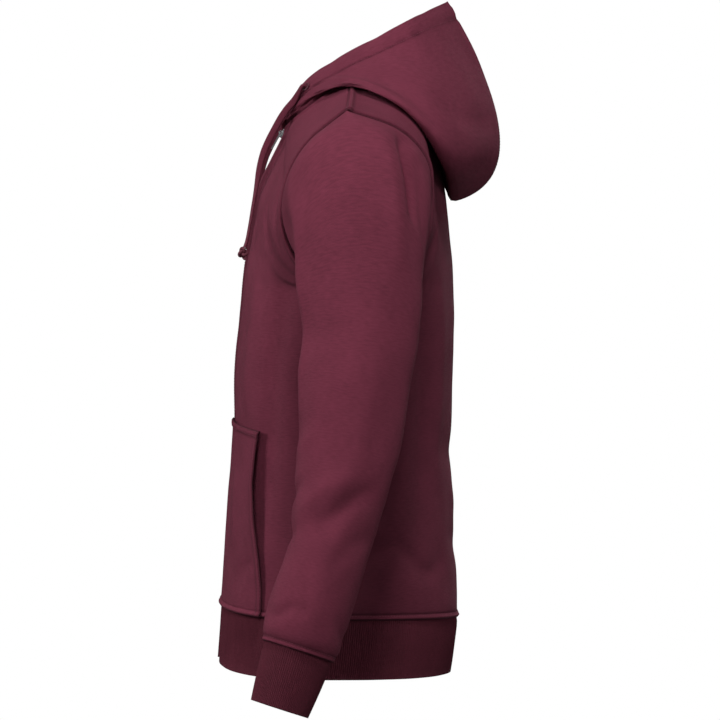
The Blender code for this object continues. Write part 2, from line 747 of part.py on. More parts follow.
def make_pull(collection):
    """The pull hangs from the bail: its origin is on the crossbar, which is the hinge's axis."""
    place = Matrix.Translation(SLIDER_PLACE) @ Matrix.Rotation(ZIP_TILT, 4, "X")
    bar = place @ Vector((0, -SLIDER_SIZE[1] / 2 - PULL_THICK / 2 - 0.0004, 0))
    bm = bmesh.new()
    half = PULL_WIDTH / 2
    slot = half - 0.0011
    levels = (PULL_THICK / 2, -PULL_THICK / 2, -0.0038, -PULL_LENGTH)
    for z_high, z_low, spans in ((levels[0], levels[1], ((-half, -slot), (-slot, slot), (slot, half))),
                                 (levels[1], levels[2], ((-half, -slot), (slot, half))),
                                 (levels[2], levels[3], ((-half, -slot), (-slot, slot), (slot, half)))):
        for x_low, x_high in spans:
            corners = ((x_low, z_low), (x_high, z_low), (x_high, z_high), (x_low, z_high))
            bm.faces.new([bm.verts.new((x, 0, z)) for x, z in corners])
    bmesh.ops.remove_doubles(bm, verts=bm.verts, dist=0.00001)
    mesh = bpy.data.meshes.new("zip_pull")
    bm.to_mesh(mesh)
    bm.free()
    pull = add_object("zip_pull", mesh, "metal", collection)
    pull.location = bar
    pull.rotation_euler = (ZIP_TILT, 0, 0)
    wall = pull.modifiers.new("thickness", "SOLIDIFY")
    wall.thickness = PULL_THICK
    wall.offset = 0


def main():
    clear_scene()
    parts = bpy.data.collections.new("zip_up_hoodie")
    cutters = bpy.data.collections.new("joined_shapes")
    for collection in (parts, cutters):
        bpy.context.scene.collection.children.link(collection)
    make_fronts(parts)
    make_back(parts)
    make_sleeves(parts)
    make_cuffs(parts)
    make_hem(parts)
    make_pockets(parts)
    make_hood(parts)
    make_zip_tapes(parts)
    make_eyelets(parts)
    make_cords(parts)
    make_slider(parts, cutters)
    make_pull(parts)


main()
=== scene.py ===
import math

import bmesh
import bpy
import numpy as np
from mathutils import Matrix, Vector, noise
from mathutils.bvhtree import BVHTree


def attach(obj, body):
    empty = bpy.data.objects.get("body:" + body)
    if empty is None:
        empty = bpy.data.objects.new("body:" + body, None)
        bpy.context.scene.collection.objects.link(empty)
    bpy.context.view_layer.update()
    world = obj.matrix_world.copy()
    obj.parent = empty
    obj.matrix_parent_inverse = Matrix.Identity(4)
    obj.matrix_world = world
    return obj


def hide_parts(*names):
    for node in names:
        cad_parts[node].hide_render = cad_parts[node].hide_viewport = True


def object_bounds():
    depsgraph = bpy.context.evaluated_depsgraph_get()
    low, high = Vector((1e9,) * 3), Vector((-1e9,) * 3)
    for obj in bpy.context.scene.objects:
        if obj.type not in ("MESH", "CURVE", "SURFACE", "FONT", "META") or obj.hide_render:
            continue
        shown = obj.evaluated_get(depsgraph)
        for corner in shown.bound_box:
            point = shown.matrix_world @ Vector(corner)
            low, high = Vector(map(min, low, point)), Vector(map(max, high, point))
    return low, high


# A zip up hoodie, filled out as worn. The front faces -Y and the wearer's left is +X.
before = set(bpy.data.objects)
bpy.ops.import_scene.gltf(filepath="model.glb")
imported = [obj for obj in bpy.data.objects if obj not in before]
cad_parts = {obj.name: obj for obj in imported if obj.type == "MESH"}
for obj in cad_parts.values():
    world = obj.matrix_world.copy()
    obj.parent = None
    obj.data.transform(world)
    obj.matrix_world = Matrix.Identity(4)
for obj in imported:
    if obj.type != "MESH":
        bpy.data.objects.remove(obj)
cadLow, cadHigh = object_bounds()
print("frame loaded")

bpy.context.scene.view_settings.view_transform = "Standard"


# Camera: level with the middle of the garment, looking at its left side
camera = {"distance": 4.0, "along": 0.011, "height": -0.323, "lens": 170.95}


def addItem(name, data):
    item = bpy.data.objects.new(name, data)
    bpy.context.scene.collection.objects.link(item)
    return item


def makeCamera():
    data = bpy.data.cameras.new("camera")
    data.lens = camera["lens"]
    data.sensor_width = 36
    item = addItem("camera", data)
    item.location = (camera["distance"], camera["along"], camera["height"])
    item.rotation_euler = (math.pi / 2, 0, math.pi / 2)
    bpy.context.scene.camera = item


makeCamera()


# Curves and meshes that every piece uses

# Row of numbers at t, 0 to 1, on the smooth curve through evenly spaced rows
def splineRow(rows, t):
    rows = np.asarray(rows, float)
    spans = len(rows) - 1
    i = int(np.clip(math.floor(t * spans), 0, spans - 1))
    f = t * spans - i
    b, c = rows[i], rows[i + 1]
    a = rows[i - 1] if i > 0 else 2 * b - c
    d = rows[i + 2] if i + 2 <= spans else 2 * c - b
    return b + 0.5 * f * (c - a + f * (2 * a - 5 * b + 4 * c - d + f * (3 * b - 3 * c + d - a)))


# Distance along each line of points, counted on the next to last axis
def arcLengths(points):
    steps = np.linalg.norm(np.diff(points, axis=-2), axis=-1)
    return np.concatenate([np.zeros(steps.shape[:-1] + (1,)), np.cumsum(steps, axis=-1)], axis=-1)


# Points of a dense line, resampled at shares of its length
def evenly(points, places):
    run = arcLengths(points)
    return np.stack([np.interp(places * run[-1], run, points[:, k]) for k in range(3)], axis=1)


# Shares of a length, close together in a band at its ends and wider apart between them
def spacing(length, fine, coarse, band):
    places = [0.0]
    while places[-1] < length:
        near = min(places[-1], length - places[-1])
        share = min(1.0, max(0.0, near - band * 0.5) / band)
        places.append(places[-1] + fine + (coarse - fine) * share)
    return np.array(places) / places[-1]


def gridNormals(points, wrap=False):
    up = np.gradient(points, axis=0)
    across = np.gradient(points, axis=1)
    if wrap:
        across[:, 0] = across[:, -1] = (points[:, 1] - points[:, -2]) / 2
    out = np.cross(across, up)
    return out / np.maximum(np.linalg.norm(out, axis=2, keepdims=True), 1e-9)


# Metres from the left, the right, the bottom and the top edge, along the cloth
def gridDistances(points):
    fromLeft = arcLengths(points)
    fromBottom = arcLengths(points.transpose(1, 0, 2)).T
    return fromLeft, fromLeft[:, -1:] - fromLeft, fromBottom, fromBottom[-1:] - fromBottom


def meshFrom(bm, name):
    mesh = bpy.data.meshes.new(name)
    bm.to_mesh(mesh)
    bm.free()
    return mesh


# A sheet of cloth from a shaped grid. Its UV map is in metres along the cloth
def clothMesh(name, points, uv=None, wrap=False, masks=None):
    rows, cols = points.shape[:2]
    if uv is None:
        fromLeft, _, fromBottom, _ = gridDistances(points)
        uv = np.stack([fromLeft.mean(axis=0)[None, :].repeat(rows, 0),
                       fromBottom.mean(axis=1)[:, None].repeat(cols, 1)], axis=2)
    bm = bmesh.new()
    bmesh.ops.create_grid(bm, x_segments=cols - 1, y_segments=rows - 1, size=1)
    bm.verts.ensure_lookup_table()
    layer = bm.loops.layers.uv.new("UVMap")
    flat, flatUv = points.reshape(-1, 3), uv.reshape(-1, 2)
    extra = {key: (bm.verts.layers.float.new(key), values.reshape(-1))
             for key, values in (masks or {}).items()}
    for k, vert in enumerate(bm.verts):
        vert.co = flat[k]
        for attribute, values in extra.values():
            vert[attribute] = values[k]
    for face in bm.faces:
        face.smooth = True
        for loop in face.loops:
            loop[layer].uv = flatUv[loop.vert.index]
    if wrap:
        bmesh.ops.remove_doubles(bm, verts=bm.verts, dist=0.00002)
    return meshFrom(bm, name)


def addPiece(name, mesh, material, nodes=(), body="garment"):
    item = addItem(name, mesh)
    mesh.materials.clear()
    mesh.materials.append(material)
    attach(item, body)
    if nodes:
        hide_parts(*nodes)
    return item


def thicken(item, thickness, edge=0.0009):
    wall = item.modifiers.new("wall", "SOLIDIFY")
    wall.thickness = thickness
    wall.offset = -1
    soft = item.modifiers.new("edge", "BEVEL")
    soft.width = edge
    soft.segments = 2
    soft.limit_method = "ANGLE"
    soft.angle_limit = math.radians(55)


# The grid of the other half, mirrored across the zip and still facing out
def flipped(points):
    return points[:, ::-1] * np.array([-1.0, 1.0, 1.0])


# Soft uneven values, -1 to 1, over a grid
def cloudAt(points, size, seed):
    flat = points.reshape(-1, 3)
    values = [noise.noise(Vector(p) / size + Vector((seed, 2.3 * seed, -seed))) for p in flat]
    return np.array(values).reshape(points.shape[:2])


# How far the listed creases lift the cloth. u and v are the grid's places as shares of the
# piece. The creases stand by the piece's width and height: a path, a half width and a depth.
def creaseLift(u, v, creases, wrap=False):
    lift = np.zeros(u.shape)
    for size, (path, halfWidth, depth) in [(size, crease) for size in creases for crease in creases[size]]:
        dense = np.array([splineRow(path, t) for t in np.linspace(0, 1, 24)]) * size
        best = np.full(u.shape, 1e9)
        along = np.zeros(u.shape)
        for turn in ((-1, 0, 1) if wrap else (0,)):
            at = np.stack([(u + turn) * size[0], v * size[1]], axis=-1)
            for k in range(len(dense) - 1):
                a, b = dense[k], dense[k + 1]
                t = np.clip(((at - a) @ (b - a)) / max(float((b - a) @ (b - a)), 1e-12), 0, 1)
                gap = np.linalg.norm(at - a - t[..., None] * (b - a), axis=-1)
                closer = gap < best
                best = np.where(closer, gap, best)
                along = np.where(closer, (k + t) / (len(dense) - 1), along)
        fade = np.sin(np.clip(along, 0, 1) * math.pi) ** 0.7
        lift += depth * fade * np.exp(-(best / halfWidth) ** 2)
    return lift


# Broad and small waves of cloth that hangs a little unevenly
def unevenness(points, amount, seed):
    return amount * (cloudAt(points, 0.085, seed) + 0.45 * cloudAt(points, 0.035, seed + 5))


def bump(distance, centre, halfWidth, height):
    return height * np.exp(-((distance - centre) / halfWidth) ** 2)


# 0 below low and 1 above high, with a smooth rise between them
def step(values, low, high):
    t = np.clip((values - low) / (high - low), 0, 1)
    return t * t * (3 - 2 * t)


def smoothed(values, rounds):
    for _ in range(rounds):
        values[1:-1] = (values[:-2] + 2 * values[1:-1] + values[2:]) / 4
    return values


# UV of a tube in metres, with even columns so that the knit runs straight
def aroundUv(points):
    rows, cols = points.shape[:2]
    fromLeft, _, fromBottom, _ = gridDistances(points)
    u = np.linspace(0, fromLeft[:, -1].mean(), cols)[None, :].repeat(rows, 0)
    v = fromBottom.mean(axis=1)[:, None].repeat(cols, 1)
    return np.stack([u, v], axis=2)


# A piece of cloth from its shaped grid, with its wall, in the place of its soft solid
def clothPiece(name, node, points, finish, thickness, edge=0.0009, uv=None, wrap=False, shade=None):
    masks = {} if shade is None else {"seamShade": shade}
    item = addPiece(name, clothMesh(name, points, uv, wrap, masks), finish, [node])
    thicken(item, thickness, edge)
    return item


# Materials

colours = {
    "cloth": (0.155, 0.0275, 0.0510), "rib": (0.095, 0.0165, 0.0290), "cord": (0.120, 0.0190, 0.0370),
    "thread": (0.150, 0.030, 0.052), "tape": (0.100, 0.018, 0.034), "teeth": (0.11, 0.02, 0.036),
    "enamel": (0.10, 0.022, 0.038), "metal": (0.55, 0.55, 0.57),
}
knit = {
    "legSlant": 1.6, "columnDepth": 0.7, "streakScale": (130, 620, 1), "patchScale": 30, "patchShare": 0.6,
    "light": 0.92, "reliefLight": 0.16, "seamDark": 0.7, "relief": 0.6,
    "shader": {"Sheen Roughness": 0.45, "Sheen Tint": (0.75, 0.45, 0.52, 1), "Specular IOR Level": 0.15},
}


# A shader node with its settings, and its inputs set to values or joined to other outputs
def addNode(tree, kind, inputs, **settings):
    node = tree.nodes.new("ShaderNode" + kind)
    for key, value in settings.items():
        setattr(node, key, value)
    for key, value in inputs.items():
        if isinstance(value, bpy.types.NodeSocket):
            tree.links.new(value, node.inputs[key])
        else:
            node.inputs[key].default_value = value
    return node


def mathNode(tree, operation, *values):
    return addNode(tree, "Math", dict(enumerate(values)), operation=operation).outputs[0]


# Stitches of a knit face: height for the bump, and a shade that varies over the cloth, with a painted highlight
# on the stitches' raised legs
def makeKnitGroup():
    group = bpy.data.node_groups.new("knitFace", "ShaderNodeTree")
    face = group.interface
    face.new_socket("Vector", in_out="INPUT", socket_type="NodeSocketVector")
    for name, value in (("Wale", 0.0012), ("Course", 0.0010), ("Uneven", 0.5)):
        face.new_socket(name, in_out="INPUT", socket_type="NodeSocketFloat").default_value = value
    for name in ("Height", "Shade"):
        face.new_socket(name, in_out="OUTPUT", socket_type="NodeSocketFloat")
    start = group.nodes.new("NodeGroupInput")
    end = group.nodes.new("NodeGroupOutput")
    place = start.outputs["Vector"]

    def maths(operation, *values):
        return mathNode(group, operation, *values)

    split = addNode(group, "SeparateXYZ", {0: place})
    x = maths("DIVIDE", split.outputs[0], start.outputs["Wale"])
    y = maths("DIVIDE", split.outputs[1], start.outputs["Course"])
    side = maths("ABSOLUTE", maths("SUBTRACT", maths("FRACT", x), 0.5))
    slant = maths("ADD", y, maths("MULTIPLY", side, knit["legSlant"]))
    leg = maths("SINE", maths("MULTIPLY", maths("FRACT", slant), math.pi))
    column = maths("SINE", maths("MULTIPLY", side, 2 * math.pi))
    ribbing = maths("ADD", maths("MULTIPLY", column, knit["columnDepth"]), 1 - knit["columnDepth"])
    height = maths("MULTIPLY", leg, ribbing)
    # Yarn that runs unevenly along the courses, and broad soft patches
    streakMap = addNode(group, "Mapping", {"Scale": knit["streakScale"], "Vector": place})
    streaks = addNode(group, "TexNoise", {"Scale": 1, "Detail": 3, "Vector": streakMap.outputs[0]})
    patches = addNode(group, "TexNoise", {"Scale": knit["patchScale"], "Detail": 4, "Vector": place})
    broad = maths("MULTIPLY", maths("SUBTRACT", patches.outputs[0], 0.5), knit["patchShare"])
    uneven = maths("ADD", maths("SUBTRACT", streaks.outputs[0], 0.5), broad)
    # Painted highlight: the raised legs of the stitches are lighter
    lit = maths("ADD", knit["light"], maths("MULTIPLY", height, knit["reliefLight"]))
    shade = maths("ADD", maths("MULTIPLY", uneven, start.outputs["Uneven"]), lit)
    group.links.new(height, end.inputs["Height"])
    group.links.new(shade, end.inputs["Shade"])
    return group


knitGroup = makeKnitGroup()


# A new material, and its shader with the values that are the same all over it
def newMaterial(name, values):
    material = bpy.data.materials.new(name)
    material.use_nodes = True
    shader = material.node_tree.nodes["Principled BSDF"]
    for key, value in values.items():
        shader.inputs[key].default_value = value
    return material, material.node_tree, shader


def clothMaterial(name, colour, wale, course, uneven, depth, sheen=0.02, roughness=0.9):
    even = {"Roughness": roughness, "Sheen Weight": sheen, **knit["shader"]}
    material, tree, shader = newMaterial(name, even)
    uv = addNode(tree, "UVMap", {}, uv_map="UVMap")
    face = addNode(tree, "Group", {"Wale": wale, "Course": course, "Uneven": uneven, "Vector": uv.outputs[0]},
                   node_tree=knitGroup)
    # Painted shade from the seamShade attribute: darker in the seams' grooves, along their stitching, at raised
    # edges and beside the side seams
    seams = addNode(tree, "Attribute", {}, attribute_name="seamShade")
    dark = mathNode(tree, "MULTIPLY", seams.outputs["Fac"], knit["seamDark"])
    shade = mathNode(tree, "MULTIPLY", face.outputs["Shade"], mathNode(tree, "SUBTRACT", 1.0, dark))
    mix = addNode(tree, "Mix", {"Factor": 1, "A": (*colour, 1), "B": shade},
                  data_type="RGBA", blend_type="MULTIPLY")
    relief = addNode(tree, "Bump", {"Strength": knit["relief"], "Distance": depth,
                                    "Height": face.outputs["Height"]})
    tree.links.new(mix.outputs["Result"], shader.inputs["Base Color"])
    tree.links.new(relief.outputs[0], shader.inputs["Normal"])
    return material


# Moulded or plated finish with fine uneven gloss
def plainMaterial(name, colour, roughness, metallic, grain, scale):
    material, tree, shader = newMaterial(name, {"Metallic": metallic})
    place = addNode(tree, "TexCoord", {})
    spots = addNode(tree, "TexNoise", {"Scale": scale, "Detail": 4, "Vector": place.outputs["Object"]})
    gloss = addNode(tree, "MapRange", {0: spots.outputs[0], "To Min": roughness - grain,
                                       "To Max": roughness + grain})
    dull, bright = [c * 0.82 for c in colour], [min(1, c * 1.08) for c in colour]
    mix = addNode(tree, "Mix", {"A": (*dull, 1), "B": (*bright, 1), "Factor": spots.outputs[0]},
                  data_type="RGBA")
    tree.links.new(gloss.outputs[0], shader.inputs["Roughness"])
    tree.links.new(mix.outputs["Result"], shader.inputs["Base Color"])
    return material


# For each knit or weave: its stitch's width and height, how uneven it is, and its depth
clothFinish = clothMaterial("sweatshirtKnit", colours["cloth"], 0.0013, 0.0011, 0.6, 0.0005)
ribFinish = clothMaterial("ribKnit", colours["rib"], 0.0010, 0.0011, 0.5, 0.0005)
cordFinish = clothMaterial("flatCord", colours["cord"], 0.0014, 0.0012, 0.3, 0.0004, sheen=0.2)
tapeFinish = clothMaterial("zipTape", colours["tape"], 0.0008, 0.0005, 0.2, 0.0001, sheen=0.1)
threadFinish = clothMaterial("thread", colours["thread"], 0.0004, 0.0003, 0.2, 0.0001, sheen=0.2, roughness=0.6)
knotFinish = plainMaterial("knotCord", colours["cord"], 0.8, 0.0, 0.1, 500)
teethFinish = plainMaterial("mouldedTeeth", colours["teeth"], 0.38, 0.0, 0.08, 900)
metalFinish = plainMaterial("platedMetal", colours["metal"], 0.24, 1.0, 0.08, 700)
enamelFinish = plainMaterial("tonalEnamel", colours["enamel"], 0.36, 0.0, 0.08, 700)
print("materials made")


# Drawcords: flat cords that leave the eyelets and hang to their knots

cordRoute = (
    (0.0628, -0.0508, -0.0085),
    (0.0641, -0.0530, -0.0070),
    (0.0646, -0.0558, -0.0082),
    (0.0618, -0.0600, -0.0155),
    (0.0575, -0.0655, -0.0245),
    (0.0540, -0.0727, -0.0325),
    (0.0510, -0.0802, -0.0430),
    (0.0480, -0.0873, -0.0555),
    (0.0460, -0.0948, -0.0695),
    (0.0440, -0.1010, -0.0840),
    (0.0415, -0.1057, -0.1020),
    (0.0396, -0.1092, -0.1230),
    (0.0384, -0.1130, -0.1450),
    (0.0374, -0.1165, -0.1660),
    (0.0370, -0.1200, -0.1840),
    (0.0370, -0.1228, -0.1925),
)
cord = {
    "halfWidth": 0.0042, "halfThick": 0.0014, "sides": 20, "steps": 150, "startSqueeze": 0.55,
    "squeezeFrom": 0.02, "squeezeTo": 0.14, "away": (0.95, -0.30, 0.1), "edgePower": 0.75, "facePower": 0.6,
    "turns": ((0.0, 0.3), (0.12, 0.1), (0.35, 0.0), (0.55, 0.35), (0.7, 0.9), (1.0, 1.0)), "twist": 55,
}
knot = {"loop": 0.00150, "tube": 0.00185, "depth": 0.0021, "drop": 0.0063, "stretch": 1.15, "points": 96}


# Directions out of the cord's face and across its width, along its path
def cordFrames(path):
    ahead = np.gradient(path, axis=0)
    ahead /= np.linalg.norm(ahead, axis=1, keepdims=True)
    away = np.array(cord["away"])
    flat = away - ahead * (ahead @ away)[:, None]
    flat /= np.linalg.norm(flat, axis=1, keepdims=True)
    return flat, np.cross(ahead, flat)


def makeCord(side):
    sign = 1 if side == "left" else -1
    path = np.array([splineRow(cordRoute, t) for t in np.linspace(0, 1, 60)])
    path = evenly(path, np.linspace(0, 1, cord["steps"]))
    flat, wide = cordFrames(path)
    t = np.linspace(0, 1, len(path))
    turn = np.interp(t, [a for a, _ in cord["turns"]], [b for _, b in cord["turns"]])
    turn = smoothed(turn, 30) * math.radians(cord["twist"])
    faceOut = flat * np.cos(turn)[:, None] + wide * np.sin(turn)[:, None]
    edgeOut = wide * np.cos(turn)[:, None] - flat * np.sin(turn)[:, None]
    squeeze = cord["startSqueeze"] + (1 - cord["startSqueeze"]) * step(t, cord["squeezeFrom"], cord["squeezeTo"])
    # A squared oval, flat on its two faces
    angle = np.linspace(0, 2 * math.pi, cord["sides"] + 1)
    across = np.sign(np.cos(angle)) * np.abs(np.cos(angle)) ** cord["edgePower"]
    thick = np.sign(np.sin(angle)) * np.abs(np.sin(angle)) ** cord["facePower"]
    across = across[None, :] * (cord["halfWidth"] * squeeze)[:, None]
    thick = thick[None, :] * (cord["halfThick"] / squeeze ** 0.5)[:, None]
    points = path[:, None] + edgeOut[:, None] * across[..., None] + faceOut[:, None] * thick[..., None]
    points[:, -1] = points[:, 0]
    points = points * (sign, 1, 1)
    shown = points if sign < 0 else points[:, ::-1]
    name = "drawcord_" + side + "_flat"
    mesh = clothMesh(name, shown, aroundUv(shown), wrap=True)
    bm = bmesh.new()
    bm.from_mesh(mesh)
    bmesh.ops.holes_fill(bm, edges=[e for e in bm.edges if e.is_boundary], sides=0)
    bmesh.ops.recalc_face_normals(bm, faces=bm.faces)
    bm.to_mesh(mesh)
    bm.free()
    return addPiece(name, mesh, cordFinish, ["drawcord_" + side]), path * (sign, 1, 1)


# An overhand knot that ends the cord: a tube along a knotted loop
def makeKnot(side, line):
    sign = 1 if side == "left" else -1
    down = Vector(line[-1] - line[-4]).normalized()
    centre = Vector(line[-1]) + down * knot["drop"]
    turn = Vector((0, 0, 1)).rotation_difference(down).to_matrix()
    t = np.linspace(0, 2 * math.pi, knot["points"] + 1)[:-1]
    size = knot["loop"]
    loop = np.stack([(np.sin(t) + 2 * np.sin(2 * t)) * size, (np.cos(t) - 2 * np.cos(2 * t)) * size,
                     -np.sin(3 * t) * knot["depth"]], axis=1)
    curve = bpy.data.curves.new("knot", "CURVE")
    curve.dimensions = "3D"
    curve.bevel_depth = knot["tube"]
    curve.bevel_resolution = 4
    spline = curve.splines.new("POLY")
    spline.points.add(len(loop) - 1)
    for point, (long, wide, deep) in zip(spline.points, loop):
        point.co = (*(turn @ Vector((deep, wide * sign, long * knot["stretch"])) + centre), 1)
    spline.use_cyclic_u = True
    holder = addItem("knot", curve)
    bpy.context.view_layer.update()
    mesh = bpy.data.meshes.new_from_object(holder.evaluated_get(bpy.context.evaluated_depsgraph_get()))
    bpy.data.objects.remove(holder)
    for polygon in mesh.polygons:
        polygon.use_smooth = True
    if not mesh.uv_layers:
        mesh.uv_layers.new(name="UVMap")
    mesh.uv_layers[0].name = "UVMap"
    mesh.name = "knot_" + side + "_cord"
    return addPiece("knot_" + side + "_cord", mesh, knotFinish, ["knot_" + side])


for cordSide in ("left", "right"):
    cordItem, cordLine = makeCord(cordSide)
    knotItem = makeKnot(cordSide, cordLine)
print("drawcords made")


# The forms, which the fixed frame has too

cloth = {"wall": 0.0025, "rib": 0.0030, "seamGap": 0.0003, "zipHalfGap": 0.0040}

neckline = {"halfWidth": 0.088, "front": 0.076, "back": 0.082, "frontDrop": 0.052, "backDrop": 0.004,
            "share": 6 / 14}

# Place of the front, the side and the back, and how square the oval is, from the hem up
bodyRows = (
    (-0.1505, -0.602, 0.1960, -0.012, -0.613, 0.1245, -0.622, 2.5),
    (-0.1478, -0.575, 0.2000, -0.011, -0.582, 0.1240, -0.588, 2.5),
    (-0.1430, -0.500, 0.2010, -0.010, -0.505, 0.1195, -0.508, 2.5),
    (-0.1366, -0.415, 0.2010, -0.008, -0.418, 0.1170, -0.420, 2.5),
    (-0.1350, -0.335, 0.2020, -0.004, -0.336, 0.1190, -0.337, 2.5),
    (-0.1300, -0.270, 0.2030, 0.003, -0.285, 0.1205, -0.275, 2.45),
)
hemRows = (
    bodyRows[0],
    (-0.1520, -0.628, 0.1935, -0.014, -0.638, 0.1225, -0.645, 2.5),
    (-0.1550, -0.668, 0.1900, -0.018, -0.680, 0.1170, -0.685, 2.5),
)
armFront = (
    (0.2010, 0.0080, -0.2430),
    (0.1960, -0.0360, -0.2320),
    (0.1930, -0.0630, -0.2040),
    (0.1935, -0.0765, -0.1600),
    (0.2010, -0.0685, -0.1170),
    (0.2130, -0.0460, -0.0800),
    (0.2250, -0.0045, -0.0455),
)
armBack = (
    (0.2010, 0.0080, -0.2430),
    (0.1980, 0.0480, -0.2290),
    (0.1980, 0.0740, -0.1960),
    (0.2000, 0.0895, -0.1470),
    (0.2060, 0.0870, -0.1020),
    (0.2150, 0.0550, -0.0670),
    (0.2250, -0.0045, -0.0455),
)
frontCentre = ((-0.1265, -0.235), (-0.1225, -0.203), (-0.1175, -0.175), (-0.1125, -0.142),
               (-0.1065, -0.114), (-0.0930, -0.086), (-0.0760, -0.052))
backCentre = ((0.1195, -0.240), (0.1180, -0.205), (0.1150, -0.165), (0.1110, -0.125),
              (0.1050, -0.085), (0.0950, -0.040), (0.0820, -0.004))
frontBox = ((2.4,), (2.1,), (1.8,), (1.6,), (1.4,), (1.2,), (1.02,))
backBox = ((2.4,), (2.0,), (1.6,), (1.3,), (1.15,), (1.05,), (1.02,))


# Point of the left half's neckline, at an angle in degrees from the front centre
def neckPoint(angle):
    c, s = math.cos(math.radians(angle)), math.sin(math.radians(angle))
    x = neckline["halfWidth"] * s
    if c >= 0:
        return np.array([x, -neckline["front"] * c, -neckline["frontDrop"] * c])
    return np.array([x, -neckline["back"] * c, -neckline["backDrop"] * c * c])


# A panel's row above the underarm: inner end, outer end and squareness
def chestRow(f, front):
    outer = splineRow(armFront if front else armBack, f)
    box = splineRow(frontBox if front else backBox, f)[0]
    neckStart = 1 - neckline["share"]
    if f > neckStart:
        turn = 90 * (f - neckStart) / (1 - neckStart)
        return np.array([*neckPoint(turn if front else 180 - turn), *outer, box])
    y, z = splineRow(frontCentre if front else backCentre, f / neckStart)
    return np.array([0, y, z, *outer, box])


def bodyRow(row, front):
    frontY, frontZ, sideX, sideY, sideZ, backY, backZ, box = row
    inner = (0, frontY, frontZ) if front else (0, backY, backZ)
    return np.array([*inner, sideX, sideY, sideZ, box])


armSteps = 14


# A panel's row at v, which counts the body's rows and then the armhole's steps
def panelRow(v, front):
    last = len(bodyRows)
    if v >= last:
        return chestRow(min((v - last) / armSteps, 1.0), front)
    rows = [bodyRow(row, front) for row in bodyRows] + [chestRow(k / armSteps, front) for k in range(3)]
    return splineRow(rows, v / (len(rows) - 1))


# Points along a row, which bows out like a quarter of a squared oval
def rowPoints(row, s, dip=0.0):
    inner, outer, box = row[:3], row[3:6], row[6]
    across = np.sin(s * math.pi / 2) ** (2 / box)
    along = np.clip(np.cos(s * math.pi / 2), 0, 1) ** (2 / box)
    x = inner[0] + (outer[0] - inner[0]) * across
    y = outer[1] + (inner[1] - outer[1]) * along
    z = inner[2] + (outer[2] - inner[2]) * across - dip * np.sin(math.pi * across)
    return np.stack([x, y, z], axis=1)


panel = {"shoulderDip": 0.004, "steps": (0.0011, 0.0044, 0.012), "width": 0.27}
denseRow = np.linspace(0, 1, 400) ** 1.2


# The outer face of the left half of a panel, from its centre edge to its side
def panelGrid(front, startX):
    last = len(bodyRows) + armSteps

    def line(v):
        dip = panel["shoulderDip"] * max(0.0, (v - last + 3) / 3)
        points = rowPoints(panelRow(v, front), denseRow, dip)
        if startX > points[0, 0]:
            k = int(np.argmax(points[:, 0] > startX))
            t = (startX - points[k - 1, 0]) / (points[k, 0] - points[k - 1, 0])
            points = np.vstack([points[k - 1] + t * (points[k] - points[k - 1]), points[k:]])
        return points

    steps = np.linspace(0, last, 20 * last + 1)
    middle = np.array([evenly(line(v), np.array([0.5]))[0] for v in steps])
    run = arcLengths(middle)
    v = np.interp(spacing(run[-1], *panel["steps"]) * run[-1], run, steps)
    places = spacing(panel["width"], *panel["steps"])
    return np.array([evenly(line(w), places) for w in v]), v


# Seams: the raised turnings beside them, the grooves and stitches on them, and the strip of
# painted shade beside the lower side seams, where the sleeve shades the body
seam = {"groove": 0.0024, "grooveWidth": 0.0016, "bandWidth": 0.0070, "bandHeight": 0.0019, "neckBand": 0.005,
        "ridgeHeight": 0.0024, "ridgeWidth": 0.0021, "ridgePlace": 0.0026, "quiet": 0.020,
        "innerStitch": 0.0016, "outerStitch": 0.0068, "ribStitch": 0.0060, "ribDip": 0.0066,
        "stitchDip": 0.0006, "stitchWidth": 0.0008, "shadeWidth": 0.0014, "worn": 0.42, "wornWidth": 0.075}
thread = {"length": 0.0027, "gap": 0.0007, "halfWidth": 0.00032, "sink": 0.00012}
stitchLines = []
sewn = {}  # shaped grids of the left front and back, which the hood lies on


def grooveAt(distance):
    return -bump(distance, 0, seam["grooveWidth"], seam["groove"])


# The seam's turnings lie flat under this side and lift it, as far as the outer stitching
def bandAt(distance, width=seam["bandWidth"]):
    return seam["bandHeight"] * step(distance, 0.0002, 0.0018) * (1 - step(distance, width, width + 0.0016))


def dipAt(distance, value):
    return -bump(distance, value, seam["stitchWidth"], seam["stitchDip"])


def doubleStitched(distance):
    return bandAt(distance) + dipAt(distance, seam["outerStitch"])


# Fat edge of the body cloth where a rib is sewn under it
def ridgeAt(distance):
    ridge = bump(distance, seam["ridgePlace"], seam["ridgeWidth"], seam["ridgeHeight"])
    return ridge + dipAt(distance, seam["ribDip"])


# Painted shade in a seam's groove or along a line of stitching
def shadeAt(distance, value=0.0, strength=1.0):
    return bump(distance, value, seam["shadeWidth"], strength)


def ribShade(distance):
    return shadeAt(distance) + shadeAt(distance, seam["ribDip"], 0.5)


# Painted shade in the strip beside the side seam, where the sleeve shades the body. The strip fades out above,
# between two rows of the armhole
def wornShade(distance, v, width, low, high):
    return seam["worn"] * np.exp(-(distance / width) ** 4) * (1 - step(v, low, high)[:, None])


# 0 at the seams, where neighbouring pieces have to meet, and 1 away from them
def stillness(*distances):
    out = 1.0
    for distance in distances:
        out = out * step(distance, 0, seam["quiet"])
    return out


